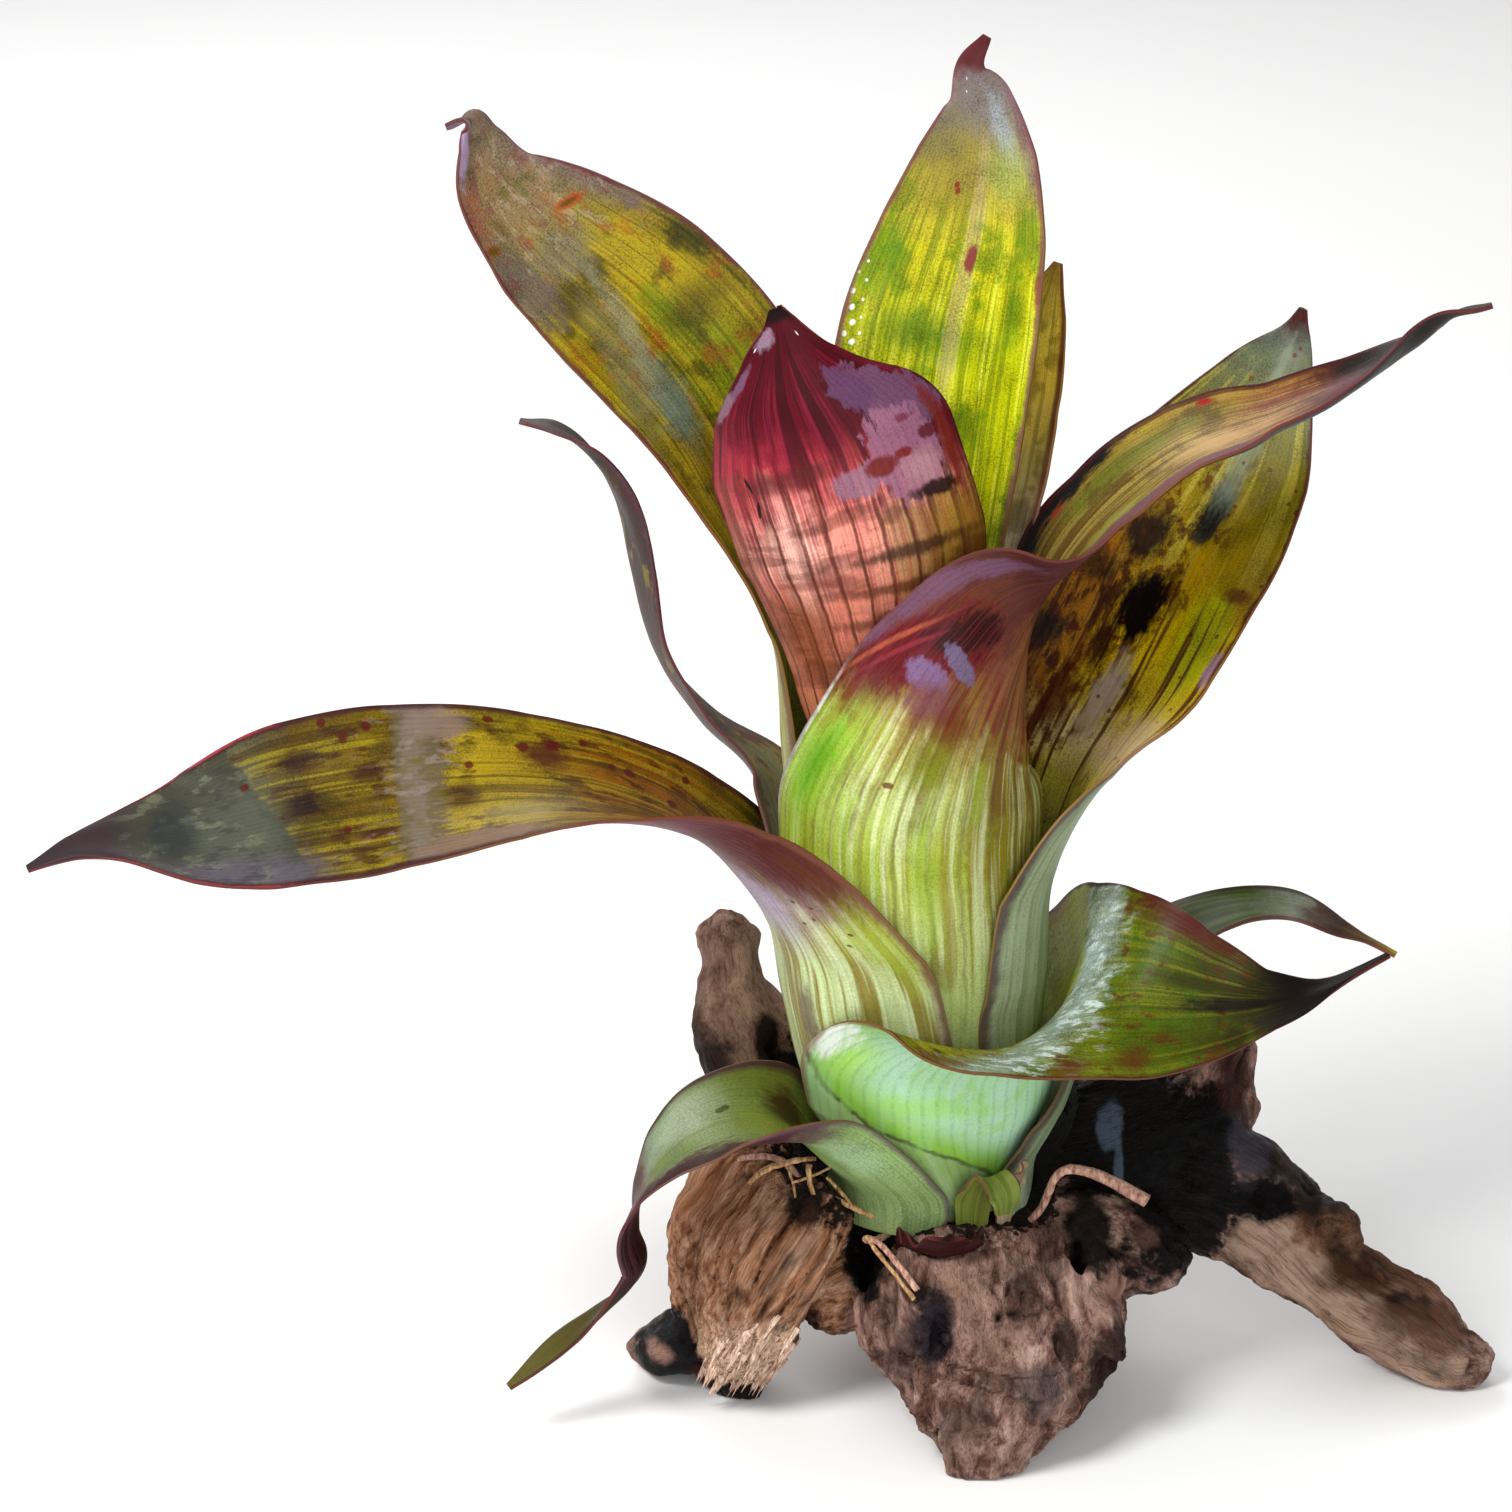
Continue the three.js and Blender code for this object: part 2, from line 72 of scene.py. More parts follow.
def settle(*pieces):
    """The pieces' objects sit at the origin, with their places in their meshes."""
    pick(*pieces)
    bpy.ops.object.transform_apply(location=True, rotation=True, scale=True)


def smooth(share):
    s = min(1.0, max(0.0, share))
    return s * s * (3 - 2 * s)


def colour(text):
    """A screen colour such as "8a6a4b" as the linear colour that shaders take."""
    parts = [int(text[k:k + 2], 16) / 255 for k in (0, 2, 4)]
    return [p / 12.92 if p <= 0.04045 else ((p + 0.055) / 1.055) ** 2.4 for p in parts] + [1.0]


# Camera: from the front and a little above, as in the photograph
photo_width = 1512
pixels_per_mm = 6.0
sensor_width = 36.0
camera_aim = place(0, 0, 113.4)
camera_distance = 0.8
camera_elevation = math.radians(22)
camera_back = Vector((0, -math.cos(camera_elevation), math.sin(camera_elevation)))
pick()
bpy.ops.object.camera_add(
    location=camera_aim + camera_back * camera_distance,
    rotation=(math.pi / 2 - camera_elevation, 0, 0),
)
camera = bpy.context.object
camera.data.sensor_width = sensor_width
camera.data.lens = sensor_width * pixels_per_mm * camera_distance / mm / photo_width
camera.data.clip_start = 0.05
camera.data.clip_end = 20.0
scene.camera = camera


# Lights
def add_light(name, location, size, power, tint):
    pick()
    bpy.ops.object.light_add(type="AREA", location=location)
    lamp = bpy.context.object
    lamp.name = name
    lamp.rotation_euler = (camera_aim - Vector(location)).to_track_quat("-Z", "Y").to_euler()
    lamp.data.shape = "DISK"
    lamp.data.size = size
    lamp.data.energy = power
    lamp.data.color = tint


add_light("key", (-0.6, -0.45, 0.95), 0.5, 12.0, (1.0, 0.985, 0.96))
add_light("front_fill", (0.3, -1.3, 0.5), 1.2, 9.0, (0.98, 0.99, 1.0))
add_light("back_rim", (-0.2, 0.9, 0.8), 0.7, 5.0, (1.0, 1.0, 1.0))

world = bpy.data.worlds.new("studio")
scene.world = world
world.use_nodes = True
background = world.node_tree.nodes["Background"]
background.inputs["Color"].default_value = (1.0, 1.0, 1.0, 1.0)
background.inputs["Strength"].default_value = 0.45


class Paint:
    """A material's node tree. Each method adds a node and gives back its output."""

    def __init__(self, name):
        self.material = bpy.data.materials.new(name)
        self.material.use_nodes = True
        self.tree = self.material.node_tree
        self.shader = self.tree.nodes["Principled BSDF"]

    def put(self, socket, value):
        if isinstance(value, bpy.types.NodeSocket):
            self.tree.links.new(value, socket)
        elif value is not None:
            socket.default_value = value

    def fill(self, made, values):
        """Puts values into a node's inputs by name."""
        for name, value in values.items():
            self.put(made.inputs[name], value)

    def node(self, kind, values=(), **settings):
        made = self.tree.nodes.new(kind)
        for name, value in settings.items():
            setattr(made, name, value)
        for socket, value in zip(made.inputs, values):
            self.put(socket, value)
        return made

    def math(self, operation, *values):
        return self.node("ShaderNodeMath", values, operation=operation).outputs[0]

    def times(self, product, *values):
        for value in values:
            product = self.math("MULTIPLY", product, value)
        return product

    def moved(self, value, by, amount):
        """value plus amount times by."""
        return self.math("MULTIPLY_ADD", by, amount, value)

    def vector(self, x=0.0, y=0.0, z=0.0):
        return self.node("ShaderNodeCombineXYZ", (x, y, z)).outputs[0]

    def vector_math(self, operation, *values):
        made = self.node("ShaderNodeVectorMath", values, operation=operation)
        return made.outputs["Value"] if operation == "LENGTH" else made.outputs[0]

    def split(self, vector):
        return self.node("ShaderNodeSeparateXYZ", (vector,)).outputs

    def uv(self, name):
        return self.node("ShaderNodeUVMap", uv_map=name).outputs[0]

    def attribute(self, name, output="Fac"):
        return self.node("ShaderNodeAttribute", attribute_name=name).outputs[output]

    def object_place(self):
        """Object coordinates, in millimetres."""
        coordinates = self.node("ShaderNodeTexCoord").outputs["Object"]
        return self.vector_math("MULTIPLY", coordinates, (1000.0, 1000.0, 1000.0))

    def noise(self, vector, scale, detail=2.0, roughness=0.5, distortion=0.0):
        made = self.node("ShaderNodeTexNoise")
        self.fill(made, {"Vector": vector, "Scale": scale, "Detail": detail, "Roughness": roughness,
                         "Distortion": distortion})
        return made.outputs[0]

    def step(self, value, low, high, to_low=0.0, to_high=1.0):
        """Goes smoothly from to_low to to_high as value goes from low to high."""
        made = self.node("ShaderNodeMapRange", interpolation_type="SMOOTHSTEP")
        self.fill(made, {"Value": value, "From Min": low, "From Max": high, "To Min": to_low,
                         "To Max": to_high})
        return made.outputs[0]

    def within(self, distance, edge):
        """1 where distance is under 1 and 0 where it is over 1, with a soft edge between."""
        return self.step(distance, 1.0 - edge, 1.0 + edge, 1.0, 0.0)

    def oval_distance(self, point, middle, turn, radii):
        """How far point is from an oval's middle, counted in its radii."""
        at = self.node("ShaderNodeMapping", (point,), vector_type="TEXTURE")
        self.fill(at, {"Location": middle, "Rotation": (0.0, 0.0, turn), "Scale": radii})
        return self.vector_math("LENGTH", at.outputs[0])

    def mix(self, factor, first, second, how="MIX"):
        made = self.node("ShaderNodeMix", data_type="RGBA", blend_type=how)
        self.put(made.inputs[0], factor)
        self.put(made.inputs[6], first)
        self.put(made.inputs[7], second)
        return made.outputs[2]

    def ramp(self, factor, stops):
        """Colours along a value from 0 to 1. stops are (value, screen colour)."""
        made = self.node("ShaderNodeValToRGB", (factor,))
        elements = made.color_ramp.elements
        while len(elements) < len(stops):
            elements.new(1.0)
        for element, (value, text) in zip(elements, stops):
            element.position = value
            element.color = colour(text)
        return made.outputs[0]

    def lay(self, factor, text, roughness=None):
        """Lays a colour over the tone so far and, if given, a roughness over the gloss so far."""
        self.tone = self.mix(factor, self.tone, colour(text))
        if roughness is not None:
            made = self.node("ShaderNodeMix", data_type="FLOAT")
            self.put(made.inputs[0], factor)
            self.put(made.inputs[2], self.gloss)
            self.put(made.inputs[3], roughness)
            self.gloss = made.outputs[0]

    def bump(self, height, distance):
        made = self.node("ShaderNodeBump")
        self.fill(made, {"Strength": 1.0, "Distance": distance, "Height": height})
        return made.outputs[0]

    def surface(self, values):
        """Sets the shader's inputs by name, and gives back the material."""
        self.fill(self.shader, values)
        return self.material


# The floor, a little under the plane that the wood stands on
floor_radius = 6.0
floor_drop = 0.0004
floor_paint = Paint("pale_floor")
floor_grain = floor_paint.noise(floor_paint.object_place(), 0.004, 3.0)
floor_tone = floor_paint.mix(floor_grain, colour("f2f2f2"), colour("f6f6f6"))
pick()
bpy.ops.mesh.primitive_circle_add(vertices=96, radius=floor_radius, fill_type="NGON",
                                  location=(0, 0, -floor_drop))
floor = bpy.context.object
floor.name = "floor"
floor.data.materials.append(floor_paint.surface({"Base Color": floor_tone, "Roughness": 0.9}))


# The rosette's axis and the vase that its sheaths make
axis_foot = Vector((30, 0, 35))
axis_lean = -0.067
stem_top_z = 58
stem_top_radius = 3.2
stem_taper = 0.5
ring_step = 2.0
tube_ring = 3
sheath_rise = 16
foot_gap = 0.85
vase_heights = [30, 40, 50, 65, 85, 105, 125, 150]
vase_radii = [9, 11, 15, 18, 21, 22, 21.5, 22]
blade_thickness = 1.0
rim_round = 0.16
wave_height = 1.1
wave_turns = 2.5
wave_lag = 0.3
wave_fade = 0.15
sheath_blend = 0.1
unevenness = 0.35
unevenness_scale = 0.06
seed_spacing = 7.3
edge_thinning = 0.5
leaf_grid = (32, 150)
scale_grid = (12, 40)

# Each leaf: its bearing, its ring, its sheath as height and half wrap, and its blade as x, y, z, half
# width, cup and roll, as the solid leaves have them
leaves = {
    "leaf_heart": dict(
        bearing=-98, ring=-1, sheath=[(56, 70), (68, 78), (90, 76), (112, 68)],
        blade=[(20, -8, 132, 18, 58, 0), (16, -6, 151, 24.5, 58, 0), (11, -3, 166, 24, 52, 0),
               (7, -1, 175.5, 17.5, 44, 0), (5, 1, 182, 8.5, 30, 0), (4, 2, 187, 3.4, 10, 0),
               (3, 3, 190, 1, 0, 0)]),
    "leaf_top": dict(
        bearing=80, ring=0, sheath=[(54, 70), (66, 80), (90, 80), (115, 75)],
        blade=[(26, 20, 138, 18, 52, 0), (28, 25, 158, 18, 38, 0), (31, 29, 178, 17.5, 30, 0),
               (35, 32, 195, 14.5, 26, 0), (37, 34, 208, 10, 24, 0), (37, 35, 216.5, 5.6, 16, 0),
               (35.5, 35, 222, 2.4, 6, 0), (38, 35, 227, 0.8, 0, 0)]),
    "leaf_behind": dict(
        bearing=52, ring=1, sheath=[(50, 45), (66, 50), (90, 46), (112, 38)],
        blade=[(37, 22, 132, 12, 34, 0), (41, 29, 150, 12, 30, 0), (45, 34, 166, 9, 26, 0),
               (48.5, 38, 179, 5, 20, 0), (51, 40, 187, 0.8, 0, 0)]),
    "leaf_upper_left": dict(
        bearing=142, ring=2, sheath=[(47, 60), (62, 78), (85, 80), (108, 70)],
        blade=[(8, 20, 130, 16, 46, -6), (1, 26, 150, 17.5, 36, -16), (-9, 33, 168, 18, 30, -26),
               (-21, 38, 180.5, 17, 26, -34), (-34, 41, 191, 13.5, 24, -38),
               (-43.5, 43, 200, 8.4, 22, -34), (-46.5, 44, 207, 4.6, 16, -20),
               (-48, 44, 210.5, 2.6, 10, 0), (-52, 43.5, 209.5, 0.8, 0, 20)]),
    "leaf_cup": dict(
        bearing=-72, ring=3, sheath=[(44, 65), (60, 85), (85, 95), (106, 94)],
        blade=[(35, -18.5, 121, 29, 80, 12), (40.5, -9.5, 132.5, 22.5, 58, 40),
               (47.5, 1, 141.5, 17.5, 34, 78), (58, 6, 153.5, 15.5, 30, 82), (71, 7, 164, 15, 26, 68),
               (85, 7, 170, 10.5, 24, 52), (97, 6, 176, 8, 30, 44), (106, 5, 182.5, 6.5, 36, 36),
               (112, 5, 188, 2.8, 20, 30), (119, 5, 190, 0.8, 0, 30)]),
    "leaf_right_back": dict(
        bearing=18, ring=4, sheath=[(41, 60), (58, 76), (76, 78), (92, 72)],
        blade=[(53, 12, 107, 24, 55, 14), (62, 20, 121, 22, 42, 30), (71, 28, 138, 20, 32, 42),
               (81, 35, 154, 15.5, 26, 48), (88, 40, 167, 8, 22, 44), (92, 43, 174, 3, 10, 30),
               (93, 43, 178, 0.8, 0, 20)]),
    "leaf_left_back": dict(
        bearing=158, ring=3.3, sheath=[(42, 35), (58, 40), (76, 36), (90, 30)],
        blade=[(2, 19, 102, 8, 30, 0), (-9, 23, 111, 8, 26, 20), (-17, 25, 123, 7, 24, 40),
               (-20, 28, 136, 6, 24, 50), (-23, 30, 148, 5, 24, 40), (-28, 32, 156, 3.5, 20, 20),
               (-34, 33, 160, 2, 10, 0), (-40, 34, 161, 0.7, 0, 0)]),
    "leaf_long_left": dict(
        bearing=202, ring=5, sheath=[(38, 60), (54, 76), (72, 80), (86, 72)],
        blade=[(-8, -12, 103, 19, 52, -2), (-21, -14, 110.5, 17.5, 36, -10),
               (-39, -16, 114, 16.5, 26, -20), (-58, -18, 113.5, 16.5, 22, -28),
               (-76, -20, 111.5, 15.5, 20, -34), (-92, -22, 108.5, 11.5, 20, -34),
               (-103, -24, 108.5, 6, 18, -30), (-110, -26, 108, 2.8, 10, -20),
               (-118, -28, 105, 0.8, 0, -10)]),
    "leaf_right_front": dict(
        bearing=-44, ring=6, sheath=[(35, 60), (45, 90), (55, 108), (64, 104)],
        blade=[(48, -18.5, 71.5, 31, 60, 10), (53, -24, 79, 24.5, 34, 28),
               (61.5, -29.5, 83.5, 18.5, 20, 42), (74, -31, 83, 11, 16, 46), (84, -29, 82, 5, 12, 44),
               (93, -26, 83, 2.4, 6, 34), (104, -22, 87, 0.8, 0, 20)]),
    "leaf_right_rear": dict(
        bearing=8, ring=7, sheath=[(32, 54), (41, 64), (49, 52)],
        blade=[(57, 7, 61, 11, 30, 0), (68, 12, 72, 9, 24, 10), (80, 16, 77, 7.5, 22, 10),
               (92, 17, 78, 5, 20, 0), (102, 14, 75, 2.6, 10, 0), (110, 11, 72, 0.8, 0, 0)]),
    "leaf_lower_left": dict(
        bearing=235, ring=7, sheath=[(32, 40), (39, 44)],
        blade=[(14, -18, 46, 13.5, 60, -4), (7, -19, 52, 14, 68, -18), (0, -20.5, 55, 12.5, 62, -24),
               (-7, -22, 55, 10, 50, -14), (-14, -23, 51, 7.5, 34, 20), (-19, -23, 44, 5.5, 24, 60),
               (-21, -22, 35, 4.5, 20, 80), (-20, -21, 28, 4.2, 16, 70), (-26, -22, 21, 3.9, 14, 40),
               (-34, -24, 15, 2.8, 10, 20), (-42, -27, 9, 0.7, 0, 10)]),
    "scale_red": dict(
        bearing=-86, ring=8, sheath=[(30, 26)],
        blade=[(31.3, -20.5, 31.5, 8, 46, 0), (31.6, -23.5, 32.5, 7.8, 48, 0),
               (31.8, -26, 34.5, 6, 36, 0), (32, -27, 37, 3.2, 16, 0)]),
    "scale_curled": dict(
        bearing=-68, ring=8, sheath=[(31, 8), (37, 10)],
        blade=[(37.8, -19, 43, 3.6, 20, 0), (39.6, -21, 45, 3.4, 20, 0), (41.5, -22, 43, 2.8, 16, 0),
               (41.5, -22, 39.5, 1.6, 10, 0)]),
    "scale_dry": dict(
        bearing=-48, ring=8.6, sheath=[(31, 5), (37, 6)],
        blade=[(43.5, -17.5, 42, 1.8, 20, 0), (44.5, -18, 45, 1.2, 10, 0),
               (45.5, -17.5, 47, 0.7, 0, 0)]),
}


def bearing_vector(bearing):
    return Vector((math.cos(math.radians(bearing)), math.sin(math.radians(bearing)), 0))


def axis_x(z):
    return axis_foot.x + axis_lean * (z - axis_foot.z)


def stem_radius(z):
    return stem_top_radius + (stem_top_z - z) * stem_taper


def sheath_radius(ring, foot_z, z):
    foot = stem_radius(foot_z) + foot_gap
    swollen = float(np.interp(z, vase_heights, vase_radii)) + ring_step * (ring - tube_ring)
    return foot + (swollen - foot) * smooth((z - foot_z) / sheath_rise)


def spline(points, t):
    """The point at t, from 0 to 1, of a centripetal Catmull-Rom spline through points."""
    last = len(points) - 1
    k = min(last - 1, int(last * t))
    w = last * t - k
    p1, p2 = points[k], points[k + 1]
    p0 = points[k - 1] if k > 0 else 2 * p1 - p2
    p3 = points[k + 2] if k + 2 <= last else 2 * p2 - p1
    d0, d1, d2 = (max(1e-4, (b - a).length ** 0.5) for a, b in ((p0, p1), (p1, p2), (p2, p3)))
    out = ((p1 - p0) / d0 - (p2 - p0) / (d0 + d1) + (p2 - p1) / d1) * d1
    into = ((p2 - p1) / d1 - (p3 - p1) / (d1 + d2) + (p3 - p2) / d2) * d1
    return p1 + out * w + (3 * (p2 - p1) - 2 * out - into) * w ** 2 + (2 * (p1 - p2) + out + into) * w ** 3


def leaf_rows(leaf, columns, rows):
    """The leaf's middle surface: rows of points, each with its share across and its place along."""
    out = bearing_vector(leaf["bearing"])
    side = bearing_vector(leaf["bearing"] + 90)
    places, forms = [], []
    for z, half_wrap in leaf["sheath"]:
        radius = sheath_radius(leaf["ring"], leaf["sheath"][0][0], z)
        places.append(Vector((axis_x(z), 0, z)) + out * radius)
        turn = math.radians(half_wrap)
        forms.append(Vector((radius * turn, turn, 0)))
    for x, y, z, half_width, cup, roll in leaf["blade"]:
        places.append(Vector((x, y, z)))
        forms.append(Vector((half_width, math.radians(cup), math.radians(roll))))
    sheath_share = (len(leaf["sheath"]) - 1) / (len(places) - 1)
    grid = []
    along = 0.0
    before = places[0]
    for i in range(rows + 1):
        t = i / rows
        centre, form = spline(places, t), spline(forms, t)
        along += (centre - before).length
        before = centre
        tangent = (spline(places, min(1, t + 0.01)) - spline(places, max(0, t - 0.01))).normalized()
        across = (side - tangent * side.dot(tangent)).normalized()
        across.rotate(Matrix.Rotation(form.z, 3, tangent))
        inward = tangent.cross(across).lerp(-out, 1 - smooth((t - sheath_share) / sheath_blend))
        inward.normalize()
        half_width, cup = max(0.6, form.x), max(0.01, form.y)
        bend = half_width / cup
        wave = wave_height * smooth((t - sheath_share) / wave_fade) * smooth((1 - t) / wave_fade)
        row = []
        for j in range(columns + 1):
            share = 2 * j / columns - 1
            phase = 2 * math.pi * (wave_turns * t + wave_lag * share)
            lift = bend * (1 - math.cos(cup * share)) + wave * share ** 2 * math.sin(phase)
            point = centre + across * bend * math.sin(cup * share) + inward * lift
            row.append((point, share, half_width * share, along))
        grid.append(row)
    return grid


def leaf_piece(name, columns, rows):
    """A leaf from a grid: its points follow the leaf's own sheath and blade, then it gets its flesh."""
    rows_of_points = leaf_rows(leaves[name], columns, rows)
    pick()
    bpy.ops.mesh.primitive_grid_add(x_subdivisions=columns, y_subdivisions=rows, size=2, location=(0, 0, 0))
    piece = bpy.context.object
    piece.name = name + "_fine"
    mesh = piece.data
    mesh.name = piece.name
    flesh = piece.vertex_groups.new(name="flesh")
    spots = []
    seed = Vector((len(name) * seed_spacing, leaves[name]["bearing"], 0))
    for vertex in mesh.vertices:
        j = round((vertex.co.x + 1) / 2 * columns)
        i = round((vertex.co.y + 1) / 2 * rows)
        spots.append(rows_of_points[i][j])
    for vertex, (point, share, _, _) in zip(mesh.vertices, spots):
        vertex.co = (point + shift) * mm
        flesh.add([vertex.index], 1.0 - edge_thinning * share ** 4, "REPLACE")
    mesh.update()
    for vertex, (point, _, _, _) in zip(mesh.vertices, spots):
        rough = noise.fractal((point + seed) * unevenness_scale, 1.0, 2.0, 3)
        vertex.co += vertex.normal * rough * unevenness * mm
    for old in list(mesh.uv_layers):
        mesh.uv_layers.remove(old)
    leaf_map = mesh.uv_layers.new(name="leaf")
    sheet_map = mesh.uv_layers.new(name="sheet")
    for loop in mesh.loops:
        _, share, across, along = spots[loop.vertex_index]
        leaf_map.data[loop.index].uv = (share, along)
        sheet_map.data[loop.index].uv = (across, along)
    wall = piece.modifiers.new("wall", "SOLIDIFY")
    wall.thickness = blade_thickness * mm
    wall.offset = 0.0
    wall.vertex_group = "flesh"
    wall.use_quality_normals = True
    wall.material_offset = 1
    wall.material_offset_rim = 2
    rounding = piece.modifiers.new("rounding", "BEVEL")
    rounding.width = rim_round * mm
    rounding.segments = 2
    rounding.limit_method = "ANGLE"
    rounding.angle_limit = math.radians(50)
    for material in leaf_finishes(name):
        mesh.materials.append(material)
    apply_modifiers(piece)
    bpy.ops.object.shade_smooth_by_angle(angle=math.radians(60))
    return piece


# Leaf finishes. A look is a list of layers, laid one over the other from the first to the last.
# Places are the share across, from -1 to 1, and the millimetres along from the leaf's foot.
left_back_look = [
    ("run", (0, "a0a078"), (60, "746c50"), (85, "503c38"), (110, "443834"), (130, "382c2c"),
     (146, "5c5450")), ("stripes", 10, "3c2c30", 0.6, 0, 140),
    ("patch", 0.0, 66, 12, 9, 0, "78784c", 0.6, 0.6),
    ("blotches", 4, 2.0, 0.42, "8c7c1c", 0.6, 62, 128),
    ("blotches", 2.6, 2.4, 0.42, "54201c", 0.7, 55, 130), ("stipple", "2c2420", 0.45),
    ("margin", "4c343c", 0.12, 0.7)]
dry_scale_look = [("run", (0, "b09c80"), (16, "988468")), ("stripes", 8, "5c4c38", 0.6, 0, 30)]
